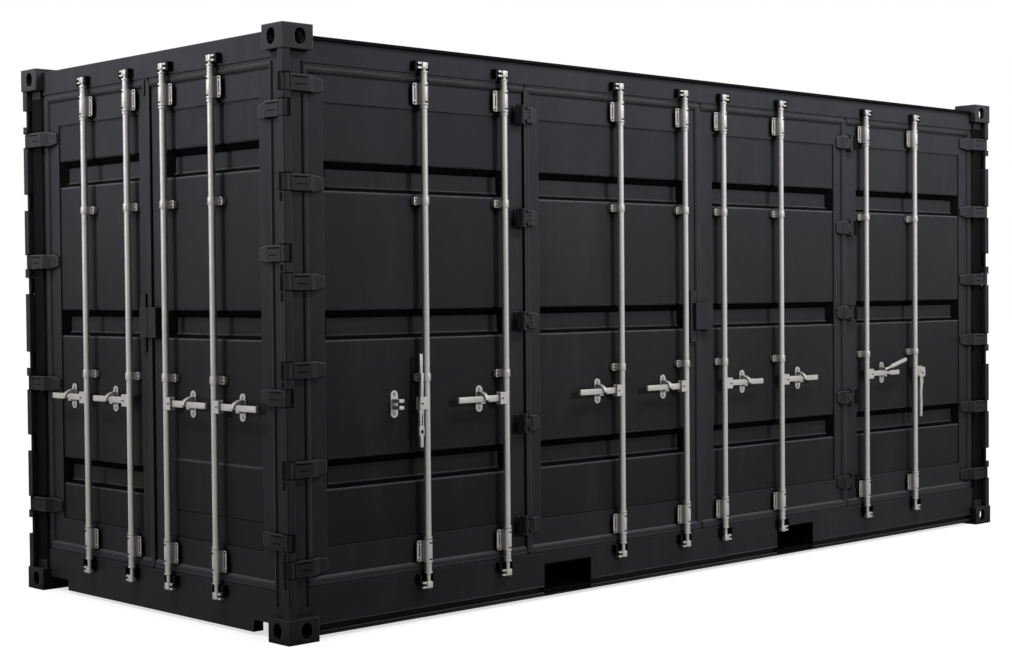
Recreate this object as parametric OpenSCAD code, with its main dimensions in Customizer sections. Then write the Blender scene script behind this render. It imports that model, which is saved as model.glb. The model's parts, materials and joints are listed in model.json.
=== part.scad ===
// Open side shipping container, high cube, with two hinged end doors and two folding side doors.
// Millimetres. X runs along the length, -X is the door end, -Y is the door side, Z is up.
// Each face is drawn in its own frame: u to the right seen from outside, d inward, z up.

/* [Body] */
// Length over the corner castings
body_l = 6058; // [5600:1:6500]
// Width over the corner castings
body_w = 2438; // [2300:1:2600]
// Height over the corner castings
body_h = 2896; // [2700:1:3100]
// Thickness of the steel plate in rails and posts
plate_t = 6; // [4:0.5:8]
// Thickness of the sheet in walls, roof and door panels
sheet_t = 2; // [1.5:0.1:4]

/* [Corner castings] */
// Casting length along X
cast_x = 178; // [160:1:200]
// Casting width along Y
cast_y = 162; // [150:1:180]
// Casting height
cast_z = 118; // [110:1:130]
// Wall of the outer casting faces
cast_wall = 28; // [20:1:32]
// Wall of the inner casting faces
cast_inner = 13; // [8:1:16]
// Width of every casting hole
cast_slot_w = 63.5; // [56:0.5:66]
// Length of the top and bottom slots
cast_slot_l = 124; // [100:1:128]
// Height of the side and end holes
cast_hole_h = 79.5; // [70:0.5:84]
// Slot middle from the container end
slot_in_x = 102.5; // [95:0.5:104]
// Slot middle from the container side
slot_in_y = 89.5; // [80:0.5:92]

/* [Corner posts] */
// Width of a post on both of its faces
post_w = 145; // [130:1:170]
// Depth of the post faces behind the casting faces
post_face = 36; // [34:1:42]
// Outer face of the hinge column behind the casting faces
nose_out = 6; // [2:1:8]
// Side of the square hinge column
nose_w = 42; // [38:1:46]
// Hinge pin radius
pin_r = 11; // [8:0.5:13]
// Height of the cut in the column at each hinge
notch_h = 90; // [87:1:100]
// Reach of the relief cut beside each hinge
notch_relief = 64; // [60:1:68]

/* [Rails] */
// Depth of the rail and sill faces behind the casting faces
rail_face = 50; // [46:1:56]
// Depth of the header and front top rail section
header_d = 128; // [100:1:128]
// Header top below the casting top
header_drop = 20; // [16:1:40]
// Section depth of the side top rails
top_rail_d = 80; // [60:1:100]
// Top rail lip above the rail face
rail_lip_h = 10; // [6:1:16]
// Overhang of the top rail lip
rail_lip_out = 14; // [6:1:18]
// Top of the side top rails below the casting top
top_rail_drop = 46; // [40:1:60]
// Section depth of the sill and front bottom rail
sill_d = 100; // [80:1:110]
// Underside of the sill and rails above the ground
under_gap = 16; // [10:1:24]
// Bottom edge of the full width part of the sill
sill_step_z = 75; // [60:1:90]
// Half width of the lower part of the sill
sill_low_half = 870; // [700:5:900]
// Depth of the lower part of the sill
sill_low_d = 56; // [40:1:70]
// Section depth of the side bottom rails
bottom_rail_d = 60; // [50:1:80]
// Bottom edge of the box part of the side bottom rails
rail_step_z = 66; // [60:1:76]
// Set back of the channel web under the side bottom rails
channel_back = 24; // [14:1:30]

/* [Floor] */
// Top of the floor above the ground
floor_top = 228; // [222:1:230]
// Floor board thickness
floor_t = 28; // [21:1:30]
// Number of floor boards along the length
floor_boards_n = 5; // [3:1:8]
// Gap between floor boards
floor_gap = 4; // [3:0.5:6]
// Cross member height
cross_h = 122; // [100:1:124]
// Cross member flange width
cross_flange = 45; // [40:1:60]
// Cross member plate thickness
cross_t = 4.5; // [3:0.5:6]
// Distance from one cross member to the next
cross_pitch = 300; // [280:1:320]

/* [Fork pockets] */
// Clear width of a fork pocket
fork_w = 350; // [300:1:380]
// Clear height of a fork pocket
fork_h = 138; // [110:1:138]
// Underside of the clear pocket above the ground
fork_z = 46; // [40:1:48]
// Middle of the pocket nearer to the door end
fork_x_a = -1128; // [-1150:1:-1050]
// Middle of the pocket nearer to the closed end
fork_x_b = 873; // [850:1:930]

/* [Walls and roof] */
// Depth of the closed side and end wall faces behind the casting faces
wall_face = 54; // [50:1:64]
// Depth of the side wall corrugation
side_corr_d = 36; // [24:1:40]
// Side wall corrugations
side_corr_n = 20; // [16:1:24]
// Depth of the end wall corrugation
end_corr_d = 42; // [30:1:46]
// End wall corrugations
end_corr_n = 8; // [6:1:10]
// Depth of the roof corrugation
roof_corr_d = 18; // [10:1:18]
// Roof corrugations
roof_corr_n = 23; // [18:1:26]
// Flat margin of the roof beside the side rails
roof_margin = 90; // [80:5:150]
// Length of the sloped ends of the roof corrugation
roof_run = 30; // [20:1:40]
// Length of the plates on the roof beside the top castings
roof_plate_l = 300; // [200:5:400]
// Width of the plates on the roof beside the top castings
roof_plate_w = 190; // [150:5:220]

/* [Door openings] */
// Bottom of the end opening
end_z0 = 230; // [230:1:240]
// Top of the end opening below the casting top
end_top_drop = 146; // [140:1:160]
// Bottom of the side opening
side_z0 = 250; // [240:1:262]
// Top of the side opening below the casting top
side_top_drop = 171; // [165:1:180]
// Gap between a leaf and its opening, and half the gap between leaves
leaf_gap = 6; // [5:0.5:9]
// Middle of the outer leaf to inner leaf seam of the side doors
fold_seam = 1427; // [1410:1:1445]

/* [Door leaves] */
// Depth of the door faces behind the casting faces
leaf_face = 69; // [66:1:74]
// Leaf thickness
leaf_t = 51; // [48:1:60]
// Upright of a leaf frame at the post
stile_out = 132; // [128:1:140]
// Upright of a leaf frame at a seam
stile_in = 112; // [100:1:116]
// Top and bottom bar of a leaf frame
bar_w = 172; // [160:1:180]
// Set back of the panel behind the leaf frame
panel_back = 8; // [4:1:10]
// Height of a pressed band
band_h = 150; // [130:1:170]
// Height of the slope at each edge of a pressed band
band_slope = 24; // [14:1:30]
// Depth of a pressed band
band_d = 34; // [20:1:36]
// Middle of the outer bands on the end doors from the ends of the opening
end_band_in = 446; // [420:1:500]
// Middle of the outer bands on the side doors from the ends of the opening
side_band_in = 524.5; // [480:0.5:560]
// Height of the flat plate on the right end leaf
flat_plate_h = 256; // [200:1:300]
// Thickness of the flat plate on the right end leaf
flat_plate_t = 3; // [2:0.5:4]

/* [Door seals] */
// Width of the seal bead
seal_w = 40; // [36:1:42]
// Height of the seal bead over the leaf face
seal_h = 15; // [10:0.5:15]
// Radius of the seal crown
seal_r = 22; // [21.5:0.5:26]

/* [Hinges] */
// Height of a post hinge blade
blade_h = 76; // [70:1:77]
// Height of a blade at its tip
blade_tip_h = 52; // [40:1:60]
// Outer face of the blade behind the casting faces
blade_out = 14; // [12:1:16]
// Blade thickness
blade_t = 16; // [12:1:17]
// Blade reach from the corner of the container
blade_reach = 278; // [270:1:300]
// Radius of the blade eye around the pin
eye_r = 20; // [17:0.5:20.5]
// Radial clearance of the hinge pins
pin_fit = 0.4; // [0.3:0.05:0.6]
// Outermost side door hinges from the ends of their opening
side_hinge_in = 100.5; // [90:0.5:130]
// Side door hinges, distance between the two in the middle
side_hinge_mid = 414; // [390:1:440]
// Step from an outer side door hinge to the end door hinge beside it
hinge_step_out = 123; // [110:1:140]
// Step from an inner side door hinge to the end door hinge beside it
hinge_step_in = 131; // [110:1:140]
// Outermost fold hinges from the ends of the opening
fold_in = 159.5; // [140:0.5:180]
// Fold hinge height
fold_h = 98; // [80:1:110]
// Fold hinge pin radius
fold_pin_r = 7; // [5:0.5:9]
// Fold hinge eye radius
fold_eye_r = 15; // [12:0.5:16]
// Fold hinge pin offset from the seam
fold_off = 26; // [22:1:30]
// Fold hinge pin depth behind the casting faces
fold_d = 40; // [36:1:42]

/* [Lock gear] */
// Lock rod radius
rod_r = 17; // [14:0.5:18]
// Depth of the rod axis behind the casting faces
rod_d = 26; // [25:1:28]
// Gap between a guide bracket and the leaf upright at the seam
rod_land = 6; // [4:1:16]
// Place of the second rod on an end leaf, as a share of its panel
end_rod_share = 0.557; // [0.5:0.001:0.6]
// Place of the second rod on a side leaf, as a share of its panel
side_rod_share = 0.477; // [0.44:0.001:0.52]
// Cam length above the opening
cam_over = 54; // [48:1:56]
// Cam length below the opening
cam_under = 84; // [70:1:88]
// Cam head height
cam_head = 32; // [28:1:36]
// Reach of the cam jaws from the rod axis
cam_jaw = 44; // [36:1:50]
// Rod clearance in its brackets
rod_fit = 0.5; // [0.3:0.1:1]
// Long bracket height
long_h = 112; // [107:1:124]
// Half width of a bracket flange
flange_half = 42; // [36:1:44]
// Bracket flange height on the long brackets
flange_h = 106; // [90:1:110]
// Bracket flange thickness
flange_t = 4; // [3:0.5:6]
// Half width of a bracket sleeve
sleeve_half = 22.5; // [20:0.5:24]
// Guide bracket height
guide_h = 40; // [36:1:50]
// Half width of a guide bracket
guide_half = 48; // [44:1:52]
// Front of the guide bracket ears behind the casting faces
guide_face = 52; // [48:1:58]
// Long bracket middle from the ends of the opening
long_in = 101; // [100:1:106]
// Middle of the upper guide brackets below the upper side band
guide_drop = 31.5; // [28:0.5:60]
// Lower guide brackets below the middle of the body height
guide_lo = 230; // [200:1:240]
// Handle height on the doors
handle_z = 1090; // [1070:1:1110]
// Gap from the end of a handle to the axis of the next rod
handle_clear = 71; // [60:1:90]
// Handle hub reach from the rod axis
hub_l = 56; // [52:1:60]
// Handle hub height
hub_h = 62; // [56:1:72]
// Handle thickness
handle_t = 12; // [8:1:14]
// Handle height at the hub
handle_h = 34; // [30:1:40]
// Radius of the pin in the hub
hub_pin_r = 6; // [4:0.5:7]
// Catch plate distance from the rod axis, as a share of the handle reach
catch_share = 0.486; // [0.46:0.001:0.52]
// Catch plate width
catch_w = 46; // [42:1:52]
// Catch plate height
catch_h = 136; // [120:1:150]
// Height of the handle waist in the catch
waist_h = 14; // [12:1:16]
// Length of the raised flap on the right outer leaf
flap_l = 250; // [200:5:260]
// Angle of the raised flap
flap_a = 15; // [10:1:20]
// Lock box width
box_w = 148; // [130:1:156]
// Lock box height
box_h = 154; // [140:1:170]
// Lock box front behind the casting faces
box_face = 29; // [24:1:40]
// Lock box wall
box_t = 4; // [3:0.5:6]
// Half gap between the halves of the end lock box
box_gap = 3; // [3:0.5:6]

/* [Hidden] */
$fn = 48;
eps = 0.5;
top_z = body_h - cast_z;
pin_at = nose_out + nose_w / 2;
nose_in = nose_out + nose_w;
end_half = body_w / 2 - post_w;
side_half = body_l / 2 - post_w;
end_z1 = body_h - end_top_drop;
side_z1 = body_h - side_top_drop;
end_mid = (end_z0 + end_z1) / 2;
side_mid = (side_z0 + side_z1) / 2;
end_band_pitch = (end_z1 - end_z0) / 2 - end_band_in;
side_band_pitch = (side_z1 - side_z0) / 2 - side_band_in;
guide_top_z = side_z1 - side_band_in - band_h / 2 - guide_drop;
header_top = body_h - header_drop;
top_rail_z = body_h - top_rail_drop;
panel_face = leaf_face + panel_back;
box_z = end_mid + 7;
side_hinge_top = (side_z1 - side_z0) / 2 - side_hinge_in;
side_half_hinges = [for (i = [0:2]) side_hinge_mid / 2 + i * (side_hinge_top - side_hinge_mid / 2) / 2];
end_half_hinges = [side_half_hinges[0] + hinge_step_in, side_half_hinges[2] - hinge_step_out];
end_hinges = concat([for (h = end_half_hinges) end_mid - h], [for (h = end_half_hinges) end_mid + h]);
side_hinges = concat([for (h = side_half_hinges) side_mid - h], [for (h = side_half_hinges) side_mid + h]);
fold_hinges = [for (i = [-2:2]) side_mid + i * ((side_z1 - side_z0) / 2 - fold_in) / 2];
pocket_half = fork_w / 2 + plate_t;
cross_n = floor((body_l / 2 - rail_face - sill_d - cross_flange - 8) / cross_pitch);
cross_rows = [for (i = [-cross_n:cross_n]) i * cross_pitch];
fork_rows = [fork_x_a, fork_x_b];
end_rod_in = leaf_gap + stile_in + guide_half + rod_land;
end_rod_out = end_rod_in + end_rod_share * (end_half - leaf_gap - stile_out - end_rod_in);
side_rod_e = leaf_gap + stile_in + guide_half + rod_land;
side_rod_c = side_rod_e + side_rod_share * (fold_seam - leaf_gap - stile_in - side_rod_e);
side_rod_b = fold_seam + side_rod_e;
side_rod_a = side_rod_b + side_rod_share * (side_half - leaf_gap - stile_out - side_rod_b);
handle_l = min(end_rod_out - end_rod_in, side_rod_c - side_rod_e, side_rod_a - side_rod_b) - handle_clear;
catch_off = catch_share * handle_l;

// Frames of the faces and corners
module end_face() { translate([-body_l / 2, 0, 0]) rotate([0, 0, -90]) children(); }
module front_face() { translate([body_l / 2, 0, 0]) rotate([0, 0, 90]) children(); }
module side_face() { translate([0, -body_w / 2, 0]) children(); }
module wall_face_frame() { translate([0, body_w / 2, 0]) rotate([0, 0, 180]) children(); }
module flip_if(yes) { if (yes) mirror([1, 0, 0]) children(); else children(); }
module corner(sx, sy) {
  translate([sx * body_l / 2, sy * body_w / 2, 0])
    flip_if(sx > 0) mirror([0, sy > 0 ? 1 : 0, 0]) children();
}
module box(u0, u1, d0, d1, z0, z1) { translate([u0, d0, z0]) cube([u1 - u0, d1 - d0, z1 - z0]); }
// A profile drawn in d and z, run from u0 to u1
module run(u0, u1, points) {
  translate([u0, 0, 0]) rotate([90, 0, 90]) linear_extrude(u1 - u0) polygon(points);
}

// A rounded slot with its length along X, rising from z = 0
module slot(l, w, h) {
  translate([-(l - w) / 2, -w / 2, 0]) cube([l - w, w, h]);
  for (k = [-1, 1]) translate([k * (l - w) / 2, 0, 0]) cylinder(r = w / 2, h = h);
}
module tube_box(u0, u1, d0, d1, z0, z1) {
  difference() {
    box(u0, u1, d0, d1, z0, z1);
    box(u0 - 1, u1 + 1, d0 + plate_t, d1 - plate_t, z0 + plate_t, z1 - plate_t);
  }
}

// Corner castings, in a corner frame
module casting() {
  difference() {
    cube([cast_x, cast_y, cast_z]);
    box(cast_wall, cast_x - cast_inner, cast_wall, cast_y - cast_inner, cast_wall, cast_z - cast_inner);
    translate([slot_in_x, slot_in_y, -1]) slot(cast_slot_l, cast_slot_w, cast_wall + 2);
    translate([slot_in_x, -1, cast_z / 2]) rotate([-90, 0, 0]) rotate([0, 0, 90])
      slot(cast_hole_h, cast_slot_w, cast_wall + 2);
    translate([-1, slot_in_y, cast_z / 2]) rotate([0, 90, 0])
      slot(cast_hole_h, cast_slot_w, cast_wall + 2);
  }
}
module four_corners() {
  for (sx = [-1, 1]) for (sy = [-1, 1]) corner(sx, sy) children();
}
module bottom_castings() { color("#3b3b3e") four_corners() casting(); }
module top_castings() {
  color("#3b3b3e") four_corners() translate([0, 0, body_h]) mirror([0, 0, 1]) casting();
}

// Corner posts, in a corner frame, with the hinge column cut at every hinge height
module post() {
  step = nose_in + 4;
  hollow = notch_relief + plate_t;
  wall = post_face + plate_t;
  inner = post_w - plate_t;
  difference() {
    translate([0, 0, cast_z]) linear_extrude(top_z - cast_z) polygon([[step, post_face], [post_w, post_face],
      [post_w, post_w], [post_face, post_w], [post_face, step], [step, step]]);
    translate([0, 0, cast_z - 1]) linear_extrude(top_z - cast_z + 2) polygon([[hollow, wall], [inner, wall],
      [inner, inner], [wall, inner], [wall, hollow], [hollow, hollow]]);
    for (z = concat(end_hinges, side_hinges)) {
      box(0, notch_relief, 0, step - 2, z - notch_h / 2, z + notch_h / 2);
      box(0, step - 2, 0, notch_relief, z - notch_h / 2, z + notch_h / 2);
    }
  }
  difference() {
    union() {
      box(nose_out, nose_in, nose_out, nose_in, cast_z, top_z);
      box(nose_in - 8, step + plate_t, nose_in - 8, step + plate_t, cast_z, top_z);
    }
    for (z = concat(end_hinges, side_hinges))
      box(0, step - eps, 0, step - eps, z - notch_h / 2, z + notch_h / 2);
  }
  for (z = concat(end_hinges, side_hinges))
    translate([pin_at, pin_at, z - notch_h / 2 - 1]) cylinder(r = pin_r, h = notch_h + 2);
}
module post_door_near() { color("#39393c") corner(-1, -1) post(); }
module post_door_far() { color("#39393c") corner(-1, 1) post(); }
module post_front_near() { color("#39393c") corner(1, -1) post(); }
module post_front_far() { color("#39393c") corner(1, 1) post(); }

// Rails
module cross_top() {
  half = body_w / 2 - cast_y;
  tube_box(-half, half, rail_face, rail_face + header_d, end_z1, header_top);
  for (k = [-1, 1])
    box(min(k * half, k * end_half), max(k * half, k * end_half), rail_face, post_w, end_z1, top_z);
}
module cross_bottom() {
  half = body_w / 2 - cast_y;
  difference() {
    tube_box(-end_half, end_half, rail_face, rail_face + sill_d, sill_step_z, end_z0);
    for (k = [-1, 1]) box(k > 0 ? half : -end_half - 1, k > 0 ? end_half + 1 : -half, 0, cast_x, 0, cast_z);
  }
  difference() {
    box(-sill_low_half, sill_low_half, rail_face, rail_face + sill_low_d, under_gap, sill_step_z + plate_t);
    box(-sill_low_half - 1, sill_low_half + 1, rail_face + plate_t, rail_face + sill_low_d - plate_t,
      under_gap + plate_t, sill_step_z);
  }
}
module end_header() { color("#3c3c40") end_face() cross_top(); }
module end_sill() { color("#2e2e30") end_face() cross_bottom(); }
module front_top_rail() { color("#3c3c40") front_face() cross_top(); }
module front_bottom_rail() { color("#2e2e30") front_face() cross_bottom(); }
module long_top() {
  half = body_l / 2 - cast_x;
  back = rail_face + top_rail_d;
  difference() {
    union() {
      tube_box(-side_half, side_half, rail_face, back, side_z1, top_rail_z);
      box(-side_half, side_half, rail_face - rail_lip_out, rail_face + plate_t,
        top_rail_z - rail_lip_h, top_rail_z);
    }
    for (k = [-1, 1])
      box(k > 0 ? half : -side_half - 1, k > 0 ? side_half + 1 : -half, 0, cast_y, top_z, body_h);
  }
}
module long_bottom(side) {
  half = body_l / 2 - cast_x;
  back = rail_face + bottom_rail_d;
  web = rail_face + channel_back;
  difference() {
    union() {
      tube_box(-side_half, side_half, rail_face, back, rail_step_z, side_z0);
      box(-half, half, web, web + plate_t, under_gap, rail_step_z + plate_t);
      box(-half, half, rail_face, back, under_gap, under_gap + plate_t);
    }
    for (k = [-1, 1]) box(k > 0 ? half : -side_half - 1, k > 0 ? side_half + 1 : -half, 0, cast_y, 0, cast_z);
    for (x = fork_rows) box(side * x - pocket_half, side * x + pocket_half, 0, back + 1,
      fork_z - plate_t, fork_z + fork_h + plate_t);
  }
}
module door_side_top_rail() { color("#3c3c40") side_face() long_top(); }
module door_side_bottom_rail() { color("#2e2e30") side_face() long_bottom(1); }
module wall_side_top_rail() { color("#3c3c40") wall_face_frame() long_top(); }
module wall_side_bottom_rail() { color("#2e2e30") wall_face_frame() long_bottom(-1); }

// Corrugated sheets
function wave(u0, u1, n, d, depth) = concat([for (i = [0:n - 1]) for (k = [0:3])
  [u0 + (u1 - u0) * (i + [0.12, 0.37, 0.63, 0.88][k]) / n, d + (k == 1 || k == 2 ? depth : 0)]]);
function sheet(front, t) = concat(front, [for (i = [len(front) - 1:-1:0]) front[i] + [0, t]]);
function wave_sheet(u0, u1, n, d, depth) =
  sheet(concat([[u0, d]], wave(u0, u1, n, d, depth), [[u1, d]]), sheet_t);
module side_wall() {
  color("#343437") wall_face_frame() translate([0, 0, side_z0]) linear_extrude(side_z1 - side_z0)
    polygon(wave_sheet(-side_half, side_half, side_corr_n, wall_face, side_corr_d));
}
module front_wall() {
  color("#343437") front_face() translate([0, 0, end_z0]) linear_extrude(end_z1 - end_z0)
    polygon(wave_sheet(-end_half, end_half, end_corr_n, wall_face, end_corr_d));
}
module roof_waves(z) {
  half = body_l / 2 - cast_x - roof_plate_l - roof_run;
  wide = body_w / 2 - rail_face - roof_margin;
  step = 2 * half / roof_corr_n;
  intersection() {
    for (i = [0:roof_corr_n - 1]) translate([(i + 0.5) * step - half, wide + 1, 0]) rotate([90, 0, 0])
      linear_extrude(2 * wide + 2) polygon([[-0.38 * step, z - 1], [-0.38 * step, z],
        [-0.13 * step, z + roof_corr_d], [0.13 * step, z + roof_corr_d],
        [0.38 * step, z], [0.38 * step, z - 1]]);
    translate([-half, 0, 0]) rotate([90, 0, 90]) linear_extrude(2 * half)
      polygon([[-wide, z - 2], [-wide, z], [2 * roof_run - wide, z + 2 * roof_corr_d],
        [wide - 2 * roof_run, z + 2 * roof_corr_d], [wide, z], [wide, z - 2]]);
  }
}
module roof_sheet() {
  half = body_l / 2 - cast_x;
  wide = body_w / 2 - rail_face - plate_t;
  color("#343437") difference() {
    union() {
      box(-half, half, -wide, wide, top_rail_z, top_rail_z + sheet_t);
      roof_waves(top_rail_z + sheet_t);
    }
    roof_waves(top_rail_z);
  }
}
module roof_corner_plates() {
  edge = rail_face + top_rail_d / 2;
  low = top_rail_z + sheet_t;
  color("#3a3a3d") four_corners()
    box(cast_x, cast_x + roof_plate_l, edge, edge + roof_plate_w, low, low + plate_t);
}

// Floor
module floor_boards() {
  half = body_l / 2 - rail_face - sill_d;
  wide = body_w / 2 - rail_face - bottom_rail_d;
  step = 2 * half / floor_boards_n;
  color("#7a5a3c") for (i = [0:floor_boards_n - 1])
    box(-half + i * step + (i > 0 ? floor_gap / 2 : 0),
      -half + (i + 1) * step - (i < floor_boards_n - 1 ? floor_gap / 2 : 0),
      -wide, wide, floor_top - floor_t, floor_top);
}
function near_fork(x) = min([for (f = fork_rows) abs(x - f)]) < pocket_half + cross_flange + 8;
module cross_members() {
  wide = body_w / 2 - rail_face - bottom_rail_d;
  z1 = floor_top - floor_t;
  z0 = z1 - cross_h;
  color("#2a2a2c") for (x = cross_rows) if (!near_fork(x)) {
    box(x, x + cross_t, -wide, wide, z0, z1);
    box(x, x + cross_flange, -wide, wide, z0, z0 + cross_t);
    box(x, x + cross_flange, -wide, wide, z1 - cross_t, z1);
  }
}
module fork_pockets() {
  wide = body_w / 2 - rail_face;
  color("#1c1c1e") for (x = fork_rows) difference() {
    box(x - pocket_half, x + pocket_half, -wide, wide, fork_z - plate_t, fork_z + fork_h + plate_t);
    box(x - fork_w / 2, x + fork_w / 2, -wide - 1, wide + 1, fork_z, fork_z + fork_h);
  }
}

// Door leaves, from opening edge or seam u0 to u1
module leaf_frame(u0, u1, z0, z1, wl, wr) {
  back = leaf_face + leaf_t;
  difference() {
    box(u0 + leaf_gap, u1 - leaf_gap, leaf_face, back, z0 + leaf_gap, z1 - leaf_gap);
    box(u0 + leaf_gap + wl, u1 - leaf_gap - wr, leaf_face - 1, back + 1,
      z0 + leaf_gap + bar_w, z1 - leaf_gap - bar_w);
  }
}
function band(c) = [[panel_face, c - band_h / 2], [panel_face + band_d, c - band_h / 2 + band_slope],
  [panel_face + band_d, c + band_h / 2 - band_slope], [panel_face, c + band_h / 2]];
module leaf_panel(u0, u1, z0, z1, wl, wr, bands) {
  front = concat([[panel_face, z0 + leaf_gap + bar_w]], [for (c = bands) for (p = band(c)) p],
    [[panel_face, z1 - leaf_gap - bar_w]]);
  back = [for (i = [len(front) - 1:-1:0]) front[i] + [sheet_t, 0]];
  run(u0 + leaf_gap + wl, u1 - leaf_gap - wr, concat(front, back));
}
module bead(l, m0, m1) {
  intersection() {
    translate([0, leaf_face, 0]) rotate([90, 0, 0]) linear_extrude(seal_h + 1)
      polygon([[0, 0], [l, 0], [l - m1 * seal_w, seal_w], [m0 * seal_w, seal_w]]);
    translate([0, leaf_face - seal_h + seal_r, seal_w / 2]) rotate([0, 90, 0]) cylinder(r = seal_r, h = l);
  }
}
module leaf_seal(u0, u1, z0, z1, left, right) {
  a = u0 + leaf_gap;
  b = u1 - leaf_gap;
  c = z0 + leaf_gap;
  e = z1 - leaf_gap;
  translate([a, 0, c]) bead(b - a, left, right);
  translate([a, 0, e]) mirror([0, 0, 1]) bead(b - a, left, right);
  if (left > 0) translate([a, 0, c]) mirror([1, 0, 0]) rotate([0, -90, 0]) bead(e - c, 1, 1);
  if (right > 0) translate([b, 0, c]) rotate([0, -90, 0]) bead(e - c, 1, 1);
}
end_bands = [end_mid - end_band_pitch, end_mid, end_mid + end_band_pitch];
side_bands = [side_mid - side_band_pitch, side_mid, side_mid + side_band_pitch];

module far_leaf_frame() {
  color("#343437") end_face() leaf_frame(-end_half, 0, end_z0, end_z1, stile_out, stile_in);
}
module near_leaf_frame() {
  color("#343437") end_face() leaf_frame(0, end_half, end_z0, end_z1, stile_in, stile_out);
}
module far_leaf_panel() {
  color("#303033") end_face() leaf_panel(-end_half, 0, end_z0, end_z1, stile_out, stile_in, end_bands);
}
module near_leaf_panel() {
  z = end_mid - end_band_pitch;
  color("#303033") end_face() {
    leaf_panel(0, end_half, end_z0, end_z1, stile_in, stile_out, [end_bands[1], end_bands[2]]);
    box(leaf_gap + stile_in + 46, end_half - leaf_gap - stile_out - 6, panel_face - flat_plate_t,
      panel_face + eps, z - flat_plate_h / 2, z + flat_plate_h / 2);
  }
}
module far_leaf_seal() { color("#232325") end_face() leaf_seal(-end_half, 0, end_z0, end_z1, 1, 1); }
module near_leaf_seal() { color("#232325") end_face() leaf_seal(0, end_half, end_z0, end_z1, 0, 1); }
module side_leaf_frame(u0, u1, wl, wr) {
  color("#343437") side_face() leaf_frame(u0, u1, side_z0, side_z1, wl, wr);
}
module side_leaf_panel(u0, u1, wl, wr) {
  color("#303033") side_face() leaf_panel(u0, u1, side_z0, side_z1, wl, wr, side_bands);
}
module side_leaf_1_frame() { side_leaf_frame(-side_half, -fold_seam, stile_out, stile_in); }
module side_leaf_2_frame() { side_leaf_frame(-fold_seam, 0, stile_in, stile_in); }
module side_leaf_3_frame() { side_leaf_frame(0, fold_seam, stile_in, stile_in); }
module side_leaf_4_frame() { side_leaf_frame(fold_seam, side_half, stile_in, stile_out); }
module side_leaf_1_panel() { side_leaf_panel(-side_half, -fold_seam, stile_out, stile_in); }
module side_leaf_2_panel() { side_leaf_panel(-fold_seam, 0, stile_in, stile_in); }
module side_leaf_3_panel() { side_leaf_panel(0, fold_seam, stile_in, stile_in); }
module side_leaf_4_panel() { side_leaf_panel(fold_seam, side_half, stile_in, stile_out); }
module side_seals() {
  color("#232325") side_face() {
    leaf_seal(-side_half, -fold_seam, side_z0, side_z1, 1, 0);
    leaf_seal(-fold_seam, 0, side_z0, side_z1, 1, 1);
    leaf_seal(0, fold_seam, side_z0, side_z1, 0, 1);
    leaf_seal(fold_seam, side_half, side_z0, side_z1, 0, 1);
  }
}

// Hinges
module blade() {
  land = post_w + leaf_gap + seal_w + 9;
  knee = land + 15;
  difference() {
    union() {
      translate([pin_at, pin_at, -blade_h / 2]) cylinder(r = eye_r, h = blade_h);
      intersection() {
        translate([0, 0, -blade_h / 2]) linear_extrude(blade_h) polygon([[pin_at, blade_out],
          [post_w + 25, blade_out], [knee, leaf_face - 21], [blade_reach, leaf_face - 11],
          [blade_reach, leaf_face], [land, leaf_face], [post_w + 15, blade_out + blade_t],
          [pin_at, blade_out + blade_t]]);
        translate([0, leaf_face + 1, 0]) rotate([90, 0, 0]) linear_extrude(leaf_face + 2)
          polygon([[0, -blade_h / 2], [knee, -blade_h / 2], [blade_reach, -blade_tip_h / 2],
            [blade_reach, blade_tip_h / 2], [knee, blade_h / 2], [0, blade_h / 2]]);
      }
    }
    translate([pin_at, pin_at, -blade_h / 2 - 1]) cylinder(r = pin_r + pin_fit, h = blade_h + 2);
  }
}
module far_leaf_hinges() {
  color("#3a3a3d") end_face() for (z = end_hinges) translate([-body_w / 2, 0, z]) blade();
}
module near_leaf_hinges() {
  color("#3a3a3d") end_face() for (z = end_hinges) translate([body_w / 2, 0, z]) mirror([1, 0, 0]) blade();
}
module side_post_hinges() {
  color("#3a3a3d") side_face() for (z = side_hinges) {
    translate([-body_l / 2, 0, z]) blade();
    translate([body_l / 2, 0, z]) mirror([1, 0, 0]) blade();
  }
}
// Fold hinge at its pin, inner leaf toward +u
module fold_hinge() {
  eye = fold_h / 2 - 28;
  seat = fold_off + leaf_gap + seal_w + 12;
  difference() {
    union() {
      translate([0, fold_d, -eye]) cylinder(r = fold_eye_r, h = 2 * eye);
      intersection() {
        translate([0, 0, -40]) linear_extrude(80) polygon([[0, fold_d - 6], [seat - 22, fold_d - 6],
          [seat + 8, leaf_face - 16], [seat + 38, leaf_face - 9], [seat + 38, leaf_face], [seat, leaf_face],
          [seat - 30, fold_d + 6], [0, fold_d + 6]]);
        translate([0, leaf_face + 1, 0]) rotate([90, 0, 0]) linear_extrude(leaf_face) polygon([[0, -eye],
          [24, -eye], [32, -40], [seat + 6, -40], [seat + 38, -28], [seat + 38, 28], [seat + 6, 40],
          [32, 40], [24, eye], [0, eye]]);
      }
    }
    translate([0, fold_d, -eye - 1]) cylinder(r = fold_pin_r + pin_fit, h = 2 * eye + 2);
  }
  for (k = [-1, 1]) translate([0, 0, k * (eye + 1.5 + 13)]) {
    translate([0, fold_d, -13]) cylinder(r = fold_eye_r, h = 26);
    box(-fold_eye_r, fold_eye_r, fold_d, leaf_face - 6, -13, 13);
  }
  translate([0, fold_d, -eye - 4]) cylinder(r = fold_pin_r, h = 2 * eye + 8);
  box(-42, fold_off - leaf_gap - 4, leaf_face - 6.5, leaf_face, -fold_h / 2, fold_h / 2);
}
module side_fold_hinges() {
  color("#2c2c2f") side_face() for (z = fold_hinges) {
    translate([-fold_seam - fold_off, 0, z]) fold_hinge();
    translate([fold_seam + fold_off, 0, z]) mirror([1, 0, 0]) fold_hinge();
  }
}

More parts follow.
